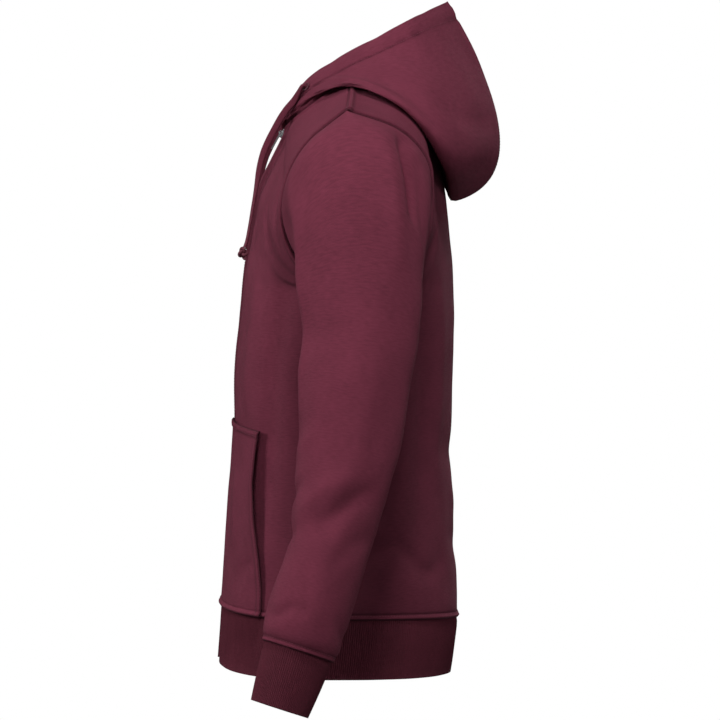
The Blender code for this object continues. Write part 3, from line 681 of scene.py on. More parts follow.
# Stitches, on both halves, where a distance from an edge has one value. They follow the
# grid's columns, or the given rows. The outside is 1 where the grid's normals point out.
def stitchAlong(points, distance, value, rows=None, outside=1):
    normals = gridNormals(points)
    if rows is None:
        lines = [(points[:, j], normals[:, j], distance[:, j]) for j in range(points.shape[1])]
    else:
        lines = [(points[i], normals[i], distance[i]) for i in rows]
    path, facing = [], []
    for line, ways, run in lines:
        order = np.argsort(run)
        path.append([np.interp(value, run[order], line[order, k]) for k in range(3)])
        facing.append([np.interp(value, run[order], ways[order, k]) for k in range(3)])
    for sign in (1, -1):
        stitchLines.append((np.array(path) * (sign, 1, 1), np.array(facing) * (sign, 1, 1) * outside))


def neckAndArmRows(v):
    neckStart = len(bodyRows) + armSteps * (1 - neckline["share"])
    return (v > neckStart)[:, None], (v >= len(bodyRows))[:, None]


# Fronts. Creases stand by the piece's width and height: a path as shares across and up, a half
# width and a depth.
front = {
    "placketWidth": 0.0105, "placketStep": 0.0034, "placketEase": 0.045, "stitchInset": 0.0006,
    "facingEnd": (7.4, 8.6), "uneven": 0.0011, "wornRows": (8, 13),
    "creases": {
        (0.27, 0.56): (
            (((0.10, 0.50), (0.16, 0.44), (0.24, 0.37), (0.30, 0.35)), 0.010, -0.0022),
            (((0.95, 0.62), (0.80, 0.66), (0.62, 0.70), (0.50, 0.74)), 0.011, -0.0036),
            (((0.97, 0.58), (0.84, 0.59), (0.70, 0.62)), 0.009, 0.0022),
            (((0.92, 0.70), (0.78, 0.77), (0.70, 0.82)), 0.010, -0.0024),
            (((0.70, 0.66), (0.66, 0.50), (0.66, 0.30), (0.62, 0.12)), 0.018, -0.0075),
            (((0.90, 0.58), (0.86, 0.42), (0.86, 0.22)), 0.016, -0.0060),
            (((0.44, 0.62), (0.47, 0.48), (0.46, 0.34)), 0.016, 0.0034),
            (((0.22, 0.66), (0.30, 0.60), (0.36, 0.50)), 0.014, 0.0016),
            (((0.12, 0.86), (0.24, 0.83), (0.40, 0.84)), 0.011, -0.0016),
        ),
    },
}


# The zip's facing stands proud of the cloth beside it
def placketLift(distance):
    drop = step(distance, front["placketWidth"], front["placketWidth"] + 0.0024)
    ease = np.exp(-np.clip(distance - front["placketWidth"], 0, None) / front["placketEase"])
    return -front["placketStep"] * drop * ease


def shapeFront(points, v, seed):
    fromZip, fromSide, fromHem, fromShoulder = gridDistances(points)
    neckRow, armRow = neckAndArmRows(v)
    normals = gridNormals(points)
    normals[:, 0, 0] = 0
    zipShare = 1 - step(v - len(bodyRows), *front["facingEnd"])[:, None]
    lift = placketLift(fromZip) * zipShare + grooveAt(fromSide) + grooveAt(fromShoulder) + ridgeAt(fromHem)
    lift += np.where(neckRow, grooveAt(fromZip) + bandAt(fromZip, seam["neckBand"]), 0)
    lift += np.where(armRow, doubleStitched(fromSide), 0)
    u, w = fromZip / fromZip[:, -1:], fromHem / fromHem[-1:]
    still = stillness(fromSide, fromHem, fromShoulder, fromZip + np.where(neckRow, 0, 0.008))
    lift += still * (creaseLift(u, w, front["creases"]) + unevenness(points, front["uneven"], seed))
    # Painted shade along the seams, their stitching, the placket's edge and the rib's stitching
    shade = shadeAt(fromSide) + np.where(armRow, shadeAt(fromSide, seam["outerStitch"], 0.5), 0)
    shade += shadeAt(fromShoulder) + ribShade(fromHem)
    shade += np.where(neckRow, 0, shadeAt(fromZip, front["placketWidth"] + 0.001, 0.6) * zipShare)
    # Painted shade beside the lower side seam, where the sleeve shades the body
    shade += wornShade(fromSide, v, seam["wornWidth"], *front["wornRows"])
    return points + normals * lift[..., None], np.clip(shade, 0, 1)


def makeFronts():
    base, v = panelGrid(True, cloth["zipHalfGap"])
    for side, seed in (("left", 3.0), ("right", 8.0)):
        shaped, shade = shapeFront(base, v, seed)
        shown = shaped
        if side == "right":
            shown, shade = flipped(shaped), shade[:, ::-1]
        item = clothPiece("front_" + side + "_cloth", "front_" + side, shown, clothFinish,
                          cloth["wall"], shade=shade)
        if side == "left":
            sewn["front"] = shaped
            fromZip, fromSide, fromHem, _ = gridDistances(shaped)
            arm = np.flatnonzero(v >= len(bodyRows))
            besideZip = np.flatnonzero(v <= len(bodyRows) + 8)
            stitchAlong(shaped, fromSide, seam["innerStitch"], arm)
            stitchAlong(shaped, fromSide, seam["outerStitch"], arm)
            stitchAlong(shaped, fromZip, front["placketWidth"] - front["stitchInset"], besideZip)
            stitchAlong(shaped, fromHem, seam["ribStitch"])
    print("fronts made")


makeFronts()


# Back. Shares across run from the right side, -1, to the left side, 1.
back = {
    "uneven": 0.0012, "wornRows": (8, 12), "wornSpread": 1.7,
    "creases": {
        (0.27, 0.60): (
            (((0.95, 0.60), (0.78, 0.64), (0.60, 0.66)), 0.012, -0.0050),
            (((0.95, 0.66), (0.80, 0.72), (0.66, 0.80)), 0.011, 0.0034),
            (((0.80, 0.62), (0.66, 0.48), (0.62, 0.30), (0.66, 0.10)), 0.018, -0.0060),
            (((0.52, 0.60), (0.48, 0.42), (0.50, 0.20)), 0.020, 0.0034),
            (((0.90, 0.10), (0.78, 0.13), (0.60, 0.08), (0.44, 0.10)), 0.010, -0.0036),
            (((-0.95, 0.61), (-0.75, 0.63), (-0.52, 0.68)), 0.012, -0.0032),
            (((-0.90, 0.50), (-0.80, 0.40), (-0.84, 0.22)), 0.014, -0.0030),
            (((0.86, 0.48), (0.78, 0.36), (0.82, 0.16)), 0.015, -0.0032),
            (((0.55, 0.30), (0.20, 0.26), (-0.25, 0.28), (-0.60, 0.24)), 0.016, -0.0030),
            (((0.40, 0.14), (0.05, 0.11), (-0.35, 0.13)), 0.013, -0.0024),
            (((0.30, 0.20), (0.00, 0.18), (-0.20, 0.20)), 0.014, 0.0020),
            (((-0.10, 0.90), (-0.30, 0.84), (-0.42, 0.74)), 0.014, -0.0018),
            (((0.12, 0.88), (0.34, 0.82), (0.46, 0.72)), 0.014, -0.0020),
        ),
    },
}


def shapeBack(points, v, sign):
    fromCentre, fromSide, fromHem, fromShoulder = gridDistances(points)
    neckRow, armRow = neckAndArmRows(v)
    normals = -gridNormals(points)
    normals[:, 0, 0] = np.where(neckRow[:, 0], normals[:, 0, 0], 0)
    lift = grooveAt(fromSide) + grooveAt(fromShoulder) + doubleStitched(fromShoulder) + ridgeAt(fromHem)
    lift += np.where(neckRow, grooveAt(fromCentre) + bandAt(fromCentre, seam["neckBand"]), 0)
    lift += np.where(armRow, doubleStitched(fromSide), 0)
    u, w = sign * fromCentre / fromCentre[:, -1:], fromHem / fromHem[-1:]
    still = stillness(fromSide, fromHem, fromShoulder, np.where(neckRow, fromCentre, 1))
    lift += still * (creaseLift(u, w, back["creases"]) + unevenness(points * (sign, 1, 1), back["uneven"], 5.0))
    # Painted shade along the seams and their stitching
    shade = shadeAt(fromSide) + np.where(armRow, shadeAt(fromSide, seam["outerStitch"], 0.6), 0)
    shade += shadeAt(fromShoulder) + shadeAt(fromShoulder, seam["outerStitch"], 0.5) + ribShade(fromHem)
    # Painted shade beside the lower side seam, where the sleeve shades the body
    shade += wornShade(fromSide, v, back["wornSpread"] * seam["wornWidth"], *back["wornRows"])
    return (points + normals * lift[..., None]) * (sign, 1, 1), np.clip(shade, 0, 1)


def makeBack():
    base, v = panelGrid(False, 0.0)
    bm = bmesh.new()
    bm.loops.layers.uv.new("UVMap")
    bm.verts.layers.float.new("seamShade")
    for sign in (1, -1):
        shaped, shade = shapeBack(base, v, sign)
        turn = slice(None, None, -1) if sign > 0 else slice(None)
        half = clothMesh("half", shaped[:, turn], masks={"seamShade": shade[:, turn]})
        bm.from_mesh(half)
        bpy.data.meshes.remove(half)
        if sign > 0:
            sewn["back"] = shaped
            _, fromSide, fromHem, fromShoulder = gridDistances(shaped)
            arm = np.flatnonzero(v >= len(bodyRows))
            for value in (seam["innerStitch"], seam["outerStitch"]):
                stitchAlong(shaped, fromSide, value, arm, outside=-1)
                stitchAlong(shaped, fromShoulder, value, outside=-1)
            stitchAlong(shaped, fromHem, seam["ribStitch"], outside=-1)
    bmesh.ops.remove_doubles(bm, verts=bm.verts, dist=0.00005)
    item = addPiece("back_cloth", meshFrom(bm, "back_cloth"), clothFinish, ["back"])
    thicken(item, cloth["wall"])
    print("back made")


makeBack()


# Sleeves and cuffs: rings with their inner and outer points, middle, half depth and lean

sleeveRows = (
    (0.2090, -0.2465, 0.2510, -0.0640, 0.0080, 0.0815, 0),
    (0.2120, -0.2500, 0.2740, -0.0950, 0.0090, 0.0780, 0),
    (0.2155, -0.2560, 0.2915, -0.1380, 0.0100, 0.0735, 0),
    (0.2190, -0.2650, 0.3035, -0.1890, 0.0100, 0.0695, 2),
    (0.2230, -0.2820, 0.3125, -0.2425, 0.0100, 0.0680, 4),
    (0.2275, -0.3120, 0.3210, -0.2925, 0.0105, 0.0632, 6),
    (0.2350, -0.3530, 0.3310, -0.3370, 0.0050, 0.0604, 7),
    (0.2460, -0.4240, 0.3420, -0.4080, -0.0007, 0.0556, 9),
    (0.2570, -0.4920, 0.3510, -0.4780, -0.0143, 0.0490, 14),
    (0.2670, -0.5410, 0.3580, -0.5280, -0.0245, 0.0437, 17),
    (0.2790, -0.5980, 0.3660, -0.5860, -0.0430, 0.0446, 18),
    (0.2850, -0.6270, 0.3670, -0.6170, -0.0515, 0.0435, 18),
    (0.2945, -0.6400, 0.3610, -0.6320, -0.0556, 0.0380, 18),
)
cuffRows = (
    (0.2945, -0.6400, 0.3610, -0.6320, -0.0556, 0.0380, 18),
    (0.2985, -0.6620, 0.3600, -0.6550, -0.0625, 0.0362, 18),
    (0.3030, -0.7010, 0.3600, -0.6940, -0.0753, 0.0322, 18),
)

# Shares run round (0 under the arm, 0.25 front, 0.5 outside, 0.75 back) and down
sleeve = {
    "columns": 140, "steps": (0.60, 0.0011, 0.0043, 0.012), "turning": 0.006, "turningDrop": 0.0042,
    "seamDip": (0.0035, 0.0040, -0.0010), "uneven": 0.0012,
    "creases": {
        (0.36, 0.60): (
            (((0.64, 0.69), (0.57, 0.72), (0.50, 0.76), (0.42, 0.80)), 0.012, -0.0054),
            (((0.55, 0.68), (0.46, 0.715), (0.38, 0.75), (0.31, 0.77)), 0.013, 0.0040),
            (((0.70, 0.76), (0.60, 0.80), (0.52, 0.85)), 0.011, -0.0026),
            (((0.20, 0.66), (0.27, 0.70), (0.36, 0.70)), 0.009, -0.0036),
            (((0.18, 0.75), (0.26, 0.78), (0.34, 0.79)), 0.009, -0.0030),
            (((0.24, 0.60), (0.31, 0.62), (0.40, 0.61)), 0.010, 0.0018),
        ),
        (0.46, 0.60): (
            (((0.20, 0.02), (0.225, 0.14), (0.23, 0.30), (0.21, 0.50)), 0.016, -0.0120),
            (((0.305, 0.06), (0.310, 0.22), (0.305, 0.38), (0.285, 0.56)), 0.012, 0.0060),
        ),
        (0.30, 0.60): (
            (((0.30, 0.93), (0.36, 0.95), (0.44, 0.93), (0.50, 0.94)), 0.007, -0.0030),
            (((0.62, 0.92), (0.70, 0.95), (0.80, 0.94)), 0.008, -0.0026),
            (((0.05, 0.94), (0.14, 0.92), (0.22, 0.94)), 0.008, -0.0028),
        ),
        (0.44, 0.60): (
            (((0.600, 0.025), (0.618, 0.080), (0.640, 0.140), (0.655, 0.200)), 0.008, -0.0150),
            (((0.645, 0.05), (0.670, 0.11), (0.695, 0.19)), 0.016, -0.0065),
            (((0.555, 0.05), (0.585, 0.16), (0.625, 0.30)), 0.012, 0.0050),
            (((0.80, 0.30), (0.84, 0.36), (0.92, 0.40)), 0.010, -0.0040),
            (((0.08, 0.34), (0.16, 0.37), (0.24, 0.36)), 0.011, -0.0044),
            (((0.10, 0.42), (0.18, 0.45), (0.27, 0.43)), 0.011, -0.0030),
            (((0.28, 0.28), (0.30, 0.36), (0.29, 0.46)), 0.010, -0.0026),
        ),
        (0.40, 0.60): (
            (((0.88, 0.52), (0.80, 0.58), (0.74, 0.66)), 0.013, -0.0030),
            (((0.66, 0.50), (0.60, 0.58), (0.62, 0.64)), 0.015, -0.0020),
        ),
    },
}


def ringPoints(row, a):
    inX, inZ, outX, outZ, midY, half, lean = row
    inner, outer = np.array([inX, midY, inZ]), np.array([outX, midY, outZ])
    angle = np.radians(270 - 360 * a)[:, None]
    behind = np.array([0, math.cos(math.radians(lean)), -math.sin(math.radians(lean))]) * half
    return (inner + outer) / 2 + (outer - inner) / 2 * np.sin(angle) + behind * np.cos(angle)


def armholePoints(a):
    return np.array([splineRow(armFront, 2 * t) if t <= 0.5 else splineRow(armBack, 2 - 2 * t) for t in a])


# Smooth rings between the given ones, at shares of the tube's length
def tubeGrid(rings, steps):
    flat = rings.reshape(len(rings), -1)
    places = np.linspace(0, 1, 24 * (len(rings) - 1) + 1)
    dense = np.array([splineRow(flat, t) for t in places]).reshape(len(places), -1, 3)
    run = arcLengths(dense.transpose(1, 0, 2)).mean(axis=0)
    shares = np.interp(steps * run[-1], run, places)
    return np.array([splineRow(flat, t) for t in shares]).reshape(len(steps), -1, 3)


def makeSleeve(side, seed, shift):
    sign = 1 if side == "left" else -1
    a = np.linspace(0, 1, sleeve["columns"] + 1)
    rings = np.array([armholePoints(a)] + [ringPoints(row, a) for row in sleeveRows])
    points = tubeGrid(rings, spacing(*sleeve["steps"]))
    normals = -gridNormals(points, wrap=True)
    _, _, fromArm, fromCuff = gridDistances(points)
    lift = grooveAt(fromArm) + bump(fromArm, *sleeve["seamDip"]) + ridgeAt(fromCuff)
    u, w = a[None, :].repeat(len(points), 0), fromArm / fromArm[-1:]
    # The two sleeves' creases lie a little differently
    creases = {size: [([(p + shift * (0.6 - q), q) for p, q in path], half, depth) for path, half, depth in rows]
               for size, rows in sleeve["creases"].items()}
    uneven = unevenness(points * (sign, 1, 1), sleeve["uneven"], seed)
    lift += stillness(fromArm, fromCuff) * (creaseLift(u, w, creases, wrap=True) + uneven)
    points = points + normals * lift[..., None]
    points[:, -1] = points[:, 0]
    # Painted shade along the armhole seam and the rib's stitching
    shade = shadeAt(fromArm) + ribShade(fromCuff)
    # The turning that is sewn inside the body's edge
    inward = points[0] - points[4]
    inward /= np.linalg.norm(inward, axis=1, keepdims=True)
    turning = points[0] + inward * sleeve["turning"] - normals[0] * sleeve["turningDrop"]
    points = np.concatenate([turning[None], points])
    # The turning takes the seam's full painted shade, as it lies in shade under the body's edge
    shade = np.clip(np.concatenate([shade[:1], shade]), 0, 1)
    fromCuff = np.concatenate([fromCuff[:1] + sleeve["turning"], fromCuff])
    if side == "left":
        stitchAlong(points, fromCuff, seam["ribStitch"], outside=-1)
    # Columns run the other way round so that the cloth faces out
    shown = points[:, ::-1] if sign > 0 else points * (-1, 1, 1)
    item = clothPiece("sleeve_" + side + "_cloth", "sleeve_" + side, shown, clothFinish, cloth["wall"],
                      uv=aroundUv(shown), wrap=True, shade=shade[:, ::-sign])


cuff = {"ribs": 100, "columnsPerRib": 4, "ribHeight": 0.00042, "tuck": 0.0012, "foldRadius": 0.0014,
        "steps": (0.064, 0.0020, 0.0085, 0.006), "uneven": 0.0007}


# Ribs, flatter where they fold under at the piece's end
def ribLift(piece, places, fromEnd):
    ribs = piece["ribHeight"] * np.cos(2 * math.pi * piece["ribs"] * places)
    return ribs[None, :] * (0.35 + 0.65 * step(fromEnd, 0, 0.003))


def makeCuff(side):
    sign = 1 if side == "left" else -1
    a = np.linspace(0, 1, cuff["ribs"] * cuff["columnsPerRib"] + 1)
    points = tubeGrid(np.array([ringPoints(row, a) for row in cuffRows]), spacing(*cuff["steps"]))
    normals = -gridNormals(points, wrap=True)
    _, _, fromSeam, fromEnd = gridDistances(points)
    lift = ribLift(cuff, a, fromEnd) - bump(fromSeam, 0, 0.004, cuff["tuck"])
    lift += unevenness(points * (sign, 1, 1), cuff["uneven"], 2.0)
    points = points + normals * lift[..., None]
    points[:, -1] = points[:, 0]
    shown = points[:, ::-1] if sign > 0 else points * (-1, 1, 1)
    item = clothPiece("cuff_" + side + "_rib", "cuff_" + side, shown, ribFinish, cloth["rib"],
                      cuff["foldRadius"], uv=aroundUv(shown), wrap=True)


for cuffSide, sleeveSeed, sleeveShift in (("left", 1.0, 0.0), ("right", 6.0, 0.05)):
    makeSleeve(cuffSide, sleeveSeed, sleeveShift)
    makeCuff(cuffSide)
print("sleeves and cuffs made")


# Hem band

hem = {"ribs": 460, "columnsPerRib": 4, "ribHeight": 0.00045, "tuck": 0.0012, "foldRadius": 0.0014,
       "steps": (0.072, 0.0030, 0.0120, 0.006), "uneven": 0.0012}


# The band's ring from the left zip edge round the back to the right zip edge
def hemLine(row, places):
    ahead = rowPoints(bodyRow(row, True), denseRow)
    ahead = ahead[ahead[:, 0] >= cloth["zipHalfGap"]]
    first = np.array([[cloth["zipHalfGap"], ahead[0, 1], ahead[0, 2]]])
    behind = rowPoints(bodyRow(row, False), denseRow)[::-1]
    left = np.vstack([first, ahead, behind[1:]])
    return evenly(np.vstack([left, left[-2::-1] * (-1, 1, 1)]), places)


def makeHem():
    places = np.linspace(0, 1, hem["ribs"] * hem["columnsPerRib"] + 1)
    points = tubeGrid(np.array([hemLine(row, places) for row in hemRows]), spacing(*hem["steps"]))
    normals = -gridNormals(points)
    fromLeft, fromRight, fromSeam, fromEnd = gridDistances(points)
    nearZip = np.minimum(fromLeft, fromRight)
    lift = ribLift(hem, places, fromEnd) * step(nearZip, 0.009, 0.013) + placketLift(nearZip)
    lift -= bump(fromSeam, 0, 0.004, hem["tuck"]) * step(nearZip, 0.008, 0.012)
    lift += unevenness(points, hem["uneven"], 4.0) * step(nearZip, 0.01, 0.05)
    shown = (points + normals * lift[..., None])[:, ::-1]
    item = clothPiece("hem_rib_band", "hem_rib", shown, ribFinish, cloth["rib"], hem["foldRadius"],
                      uv=aroundUv(shown))
    print("hem band made")


makeHem()


# Split kangaroo pocket: the height in the body's rows, the outer edge's place, and the gape

pocketRows = ((0.01, 0.625, 0.0), (0.50, 0.625, 0.0), (1.00, 0.625, 0.1), (1.50, 0.610, 0.6),
              (2.00, 0.575, 1.0), (2.50, 0.545, 1.0), (3.00, 0.540, 0.5), (3.17, 0.548, 0.0))
pocket = {
    "inner": 0.060, "topRise": 0.16, "lift": 0.0006, "gape": 0.0070, "rows": 110, "columns": 64,
    "hemWidth": 0.0070, "bandShare": 0.8, "stitches": (0.0016, 0.0066), "smoothing": 8, "uneven": 0.0010,
    "creases": {
        (0.13, 0.20): (
            (((0.95, 0.30), (0.78, 0.24), (0.60, 0.12)), 0.009, -0.0018),
            (((0.60, 0.75), (0.56, 0.52), (0.62, 0.34)), 0.012, 0.0016),
            (((0.30, 0.90), (0.34, 0.55), (0.28, 0.20)), 0.012, -0.0014),
        ),
    },
}


def pocketBase():
    heights, outers, gapes = np.array(pocketRows).T
    points, openness = [], []
    for w in np.linspace(0, 1, pocket["rows"]):
        v = heights[0] + (heights[-1] - heights[0]) * w
        outer = np.interp(v, heights, outers)
        places = np.linspace(pocket["inner"], outer, pocket["columns"])
        rise = pocket["topRise"] * (1 - places / outer) * step(w, 0.75, 1.0)
        points.append([rowPoints(panelRow(v + up, True), np.array([s]))[0] for s, up in zip(places, rise)])
        openness.append(np.interp(v, heights, gapes) * (places / outer) ** 4)
    return smoothed(np.array(points), pocket["smoothing"]), smoothed(np.array(openness), pocket["smoothing"])


def makePockets():
    base, gapes = pocketBase()
    normals = gridNormals(base)
    fromInner, fromOuter, fromHem, fromTop = gridDistances(base)
    plain = placketLift(base[..., 0] - cloth["zipHalfGap"]) + cloth["wall"] + pocket["lift"]
    plain += pocket["gape"] * gapes + ridgeAt(fromHem)
    # Painted shade along the pocket's seams, its edges and their stitching
    shade = shadeAt(fromHem)
    for edge in (fromTop, fromOuter):
        plain += bandAt(edge, pocket["hemWidth"]) * pocket["bandShare"] + dipAt(edge, pocket["hemWidth"])
        shade += shadeAt(edge) + shadeAt(edge, pocket["hemWidth"], 0.5)
    shade = np.clip(shade, 0, 1)
    u, w = fromInner / fromInner[:, -1:], fromHem / fromHem[-1:]
    still = stillness(fromInner, fromHem, fromTop) * step(fromOuter, 0, 0.012)
    for side, seed in (("left", 2.0), ("right", 7.0)):
        sign = 1 if side == "left" else -1
        uneven = np.abs(unevenness(base * (sign, 1, 1), pocket["uneven"], seed))
        lift = plain + still * (creaseLift(u, w, pocket["creases"]) + uneven)
        points = base + normals * lift[..., None]
        if sign > 0:
            for value in pocket["stitches"]:
                stitchAlong(points, fromOuter, value, range(len(points)))
                stitchAlong(points, fromTop, value)
        shown = points if sign > 0 else flipped(points)
        item = clothPiece("pocket_" + side + "_cloth", "pocket_" + side, shown, clothFinish,
                          cloth["wall"], shade=shade[:, ::sign])
    print("pockets made")


makePockets()


# Hood, worn down: angle round the neck, the mouth's rim, the fold's lower edge and the belly

hoodRows = (
    (0, 0.006, -0.0745, -0.043, 0.006, -0.0775, -0.049, 0.001),
    (30, 0.029, -0.0665, -0.022, 0.046, -0.0700, -0.038, 0.002),
    (60, 0.053, -0.0480, 0.003, 0.083, -0.0400, -0.0215, 0.005),
    (90, 0.078, -0.0060, 0.028, 0.138, 0.0040, -0.0140, 0.008),
    (120, 0.085, 0.0420, 0.053, 0.160, 0.0660, -0.0470, 0.020),
    (150, 0.064, 0.0800, 0.075, 0.130, 0.1060, -0.1090, 0.054),
    (180, 0.000, 0.1130, 0.096, 0.000, 0.1170, -0.1400, 0.092),
)
# Shares run round from the front and up from the neck
hood = {
    "centre": (0.0, 0.020, 0.0), "seat": 0.0006, "clear": 0.0016, "rise": 0.0064, "rimHandle": 0.58,
    "columns": 130, "steps": (0.26, 0.0012, 0.0038, 0.010), "lineSmoothing": 4, "smoothing": 24,
    "channel": 0.0225, "channelLift": 0.0007, "cordPlace": 0.0110, "cordHalf": 0.0048, "cordSwell": 0.0010,
    "centreBand": 0.0055, "centreStitch": 0.0022, "uneven": 0.0016, "centreGap": 0.00002,
    "creases": {
        (0.42, 0.26): (
            (((0.44, 0.84), (0.58, 0.66), (0.74, 0.52), (0.90, 0.46)), 0.016, -0.0036),
            (((0.40, 0.72), (0.52, 0.58), (0.66, 0.46)), 0.012, 0.0026),
            (((0.60, 0.86), (0.72, 0.74), (0.86, 0.68)), 0.014, 0.0022),
            (((0.98, 0.62), (0.88, 0.60), (0.78, 0.63)), 0.010, -0.0024),
            (((0.30, 0.62), (0.36, 0.66), (0.44, 0.66)), 0.006, -0.0020),
        ),
    },
    "rimNotches": ((0.855, 0.010, -0.0020), (0.62, 0.014, -0.0014), (0.44, 0.010, -0.0010)),
}


# The left front's and back's outer faces, which the hood lies on
def bodySurface():
    verts, faces = [], []
    for points, turn in ((sewn["front"], 1), (sewn["back"], -1)):
        thin = points[::3, ::3]
        start = len(verts)
        rows, cols = thin.shape[:2]
        verts += [Vector(p) for p in thin.reshape(-1, 3)]
        for i in range(rows - 1):
            for j in range(cols - 1):
                a = start + i * cols + j
                faces.append((a, a + 1, a + cols + 1, a + cols)[::turn])
    return BVHTree.FromPolygons(verts, faces)


def clearOfBody(point, distance, surface):
    at, normal, _, _ = surface.find_nearest(Vector(point))
    if (Vector(point) - at).dot(normal) < distance:
        return np.array(at + normal * distance)
    return point


def bezierPoints(a, b, c, d, t):
    t = np.asarray(t)[:, None]
    u = 1 - t
    return a * u ** 3 + b * 3 * u * u * t + c * 3 * u * t * t + d * t ** 3


# Points from the neckline, under the fold, and up its outer face to the mouth's rim
def hoodSection(angle, surface):
    _, rimX, rimY, rimZ, edgeX, edgeY, edgeZ, belly = splineRow(hoodRows, angle / 180)
    up = np.array([0, 0, 1.0])
    neck = neckPoint(angle) + up * hood["seat"]
    rim, edge = np.array([max(rimX, 0), rimY, rimZ]), np.array([max(edgeX, 0), edgeY, edgeZ])
    out = (edge - np.array(hood["centre"])) * (1, 1, 0)
    out /= np.linalg.norm(out)
    belowRim = rim + (out * 0.53 - up * 0.85) * hood["rimHandle"] * np.linalg.norm(rim - edge)
    beyondEdge = edge + (out + up * 0.2) * belly
    tuck = (neck + edge) / 2 + up * 0.004 * min(1, belly / 0.008)
    shares = np.linspace(0, 1, 17)
    under = bezierPoints(neck, neck, tuck, edge, shares)
    rise = hood["rise"] * (1 - step(np.array(angle), 90, 150))
    for k in range(1, len(under)):
        under[k] = clearOfBody(under[k], hood["clear"] * min(1, 4 * shares[k]) + rise * shares[k], surface)
    face = bezierPoints(edge, beyondEdge, belowRim, rim, np.linspace(0, 1, 65))
    face[0] = under[-1]
    line = evenly(np.vstack([under, face[1:]]), np.linspace(0, 1, 121))
    return smoothed(line, hood["lineSmoothing"])


def makeHood():
    surface = bodySurface()
    sections = np.array([hoodSection(angle, surface) for angle in np.linspace(0, 180, hood["columns"])])
    steps = spacing(*hood["steps"])
    base = np.array([evenly(line, steps) for line in smoothed(sections, hood["smoothing"])]).transpose(1, 0, 2)
    base[:, 0, 0] = np.maximum(base[:, 0, 0], cloth["zipHalfGap"])
    base[:, -1, 0] = hood["centreGap"]
    normals = gridNormals(base)
    normals[:, -1, 0] = 0
    normals /= np.linalg.norm(normals, axis=2, keepdims=True)
    _, fromBack, fromNeck, fromRim = gridDistances(base)
    u, w = np.linspace(0, 1, base.shape[1])[None, :].repeat(base.shape[0], 0), fromNeck / fromNeck[-1:]
    # The cord's channel swells along the rim, and is drawn in at its notches
    plain = grooveAt(fromNeck) - bump(fromRim, hood["channel"], 0.0011, 0.0011)
    plain += hood["channelLift"] * (1 - step(fromRim, hood["channel"] - 0.002, hood["channel"]))
    plain += bump(fromRim, hood["cordPlace"], hood["cordHalf"], hood["cordSwell"])
    plain += grooveAt(fromBack) + bandAt(fromBack, hood["centreBand"])
    for place, width, depth in hood["rimNotches"]:
        plain += depth * np.exp(-((u - place) * 0.35 / width) ** 2) * np.exp(-fromRim / 0.018)
    still = stillness(fromNeck, fromBack) * (0.25 + 0.75 * step(fromRim, 0.012, 0.035))
    # Painted shade along the neck seam, the cord channel's stitching and the centre seam
    shade = shadeAt(fromNeck) + shadeAt(fromRim, hood["channel"], 0.5) + shadeAt(fromBack, 0, 0.7)
    shade = np.clip(shade, 0, 1)
    for side, seed in (("left", 4.0), ("right", 9.0)):
        sign = 1 if side == "left" else -1
        uneven = unevenness(base * (sign, 1, 1), hood["uneven"], seed)
        lift = plain + still * (creaseLift(u, w, hood["creases"]) + uneven)
        points = base + normals * lift[..., None]
        if sign > 0:
            stitchAlong(points, fromRim, hood["channel"] - 0.0004)
            stitchAlong(points, fromBack, hood["centreStitch"], range(20, len(points)))
        shown = points if sign > 0 else flipped(points)
        item = clothPiece("hood_" + side + "_cloth", "hood_" + side, shown, clothFinish,
                          cloth["wall"], shade=shade[:, ::sign])
    print("hood made")


makeHood()


# Zip: tapes, teeth, slider and pull

zipPart = {
    "tapeHalf": 0.015, "tapeThick": 0.0008, "tapeEdge": 0.0002, "centreGap": 0.00015, "rows": 220,
    "hemRows": 26, "behind": 0.0004, "smoothing": 12, "pitch": 0.0024, "toothWidth": 0.0034,
    "toothDepth": 0.0013, "toothHeight": 0.0011, "toothSide": 0.0009, "toothBevel": 0.00032,
    "bottomEnd": 0.003, "topEnd": 0.004,
}


# Points at one distance from the centre, on the fronts' and hem's outer form
def zipLine(x):
    dense = np.linspace(0, 0.4, 200) ** 1.2
    hemForm = [bodyRow(row, True) for row in hemRows]
    last = len(bodyRows) + armSteps * (1 - neckline["share"])
    lines = [rowPoints(splineRow(hemForm, t), dense) for t in np.linspace(1, 0, 24)[:-1]]
    lines += [rowPoints(panelRow(v, True), dense) for v in np.linspace(0, last, 120)]
    return np.array([[np.interp(x, line[:, 0], line[:, k]) for k in range(3)] for line in lines])


# One tooth after the other along the centre, by turns on the left and the right
def makeTeeth(centre, out):
    length = arcLengths(centre)[-1]
    places = np.arange(zipPart["bottomEnd"], length - zipPart["topEnd"], zipPart["pitch"] / 2) / length
    spots = evenly(centre, places)
    rows = np.linspace(0, 1, len(out))
    facing = np.array([[np.interp(p, rows, out[:, k]) for k in range(3)] for p in places])
    size = Matrix.Diagonal((zipPart["toothWidth"], zipPart["toothDepth"], zipPart["toothHeight"], 1))
    bm = bmesh.new()
    for k, (spot, way) in enumerate(zip(spots, facing)):
        ahead = Vector(spots[min(k + 1, len(spots) - 1)] - spots[max(k - 1, 0)]).normalized()
        way = Vector(way).normalized()
        across = ahead.cross(way).normalized()
        turn = Matrix((across, ahead, way)).transposed().to_4x4()
        hand = 1 if k % 2 else -1
        place = Vector(spot) + across * hand * zipPart["toothSide"] + way * zipPart["toothHeight"] * 0.5
        made = bmesh.ops.create_cube(bm, size=1, matrix=Matrix.Translation(place) @ turn @ size)
        edges = {e for v in made["verts"] for e in v.link_edges}
        top = [e for e in edges if all((v.co - place).dot(way) > 0 for v in e.verts)]
        bmesh.ops.bevel(bm, geom=top, offset=zipPart["toothBevel"], offset_type="OFFSET", affect="EDGES",
                        segments=1, profile=0.5, material=-1)
    addPiece("zip_teeth", meshFrom(bm, "zip_teeth"), teethFinish)


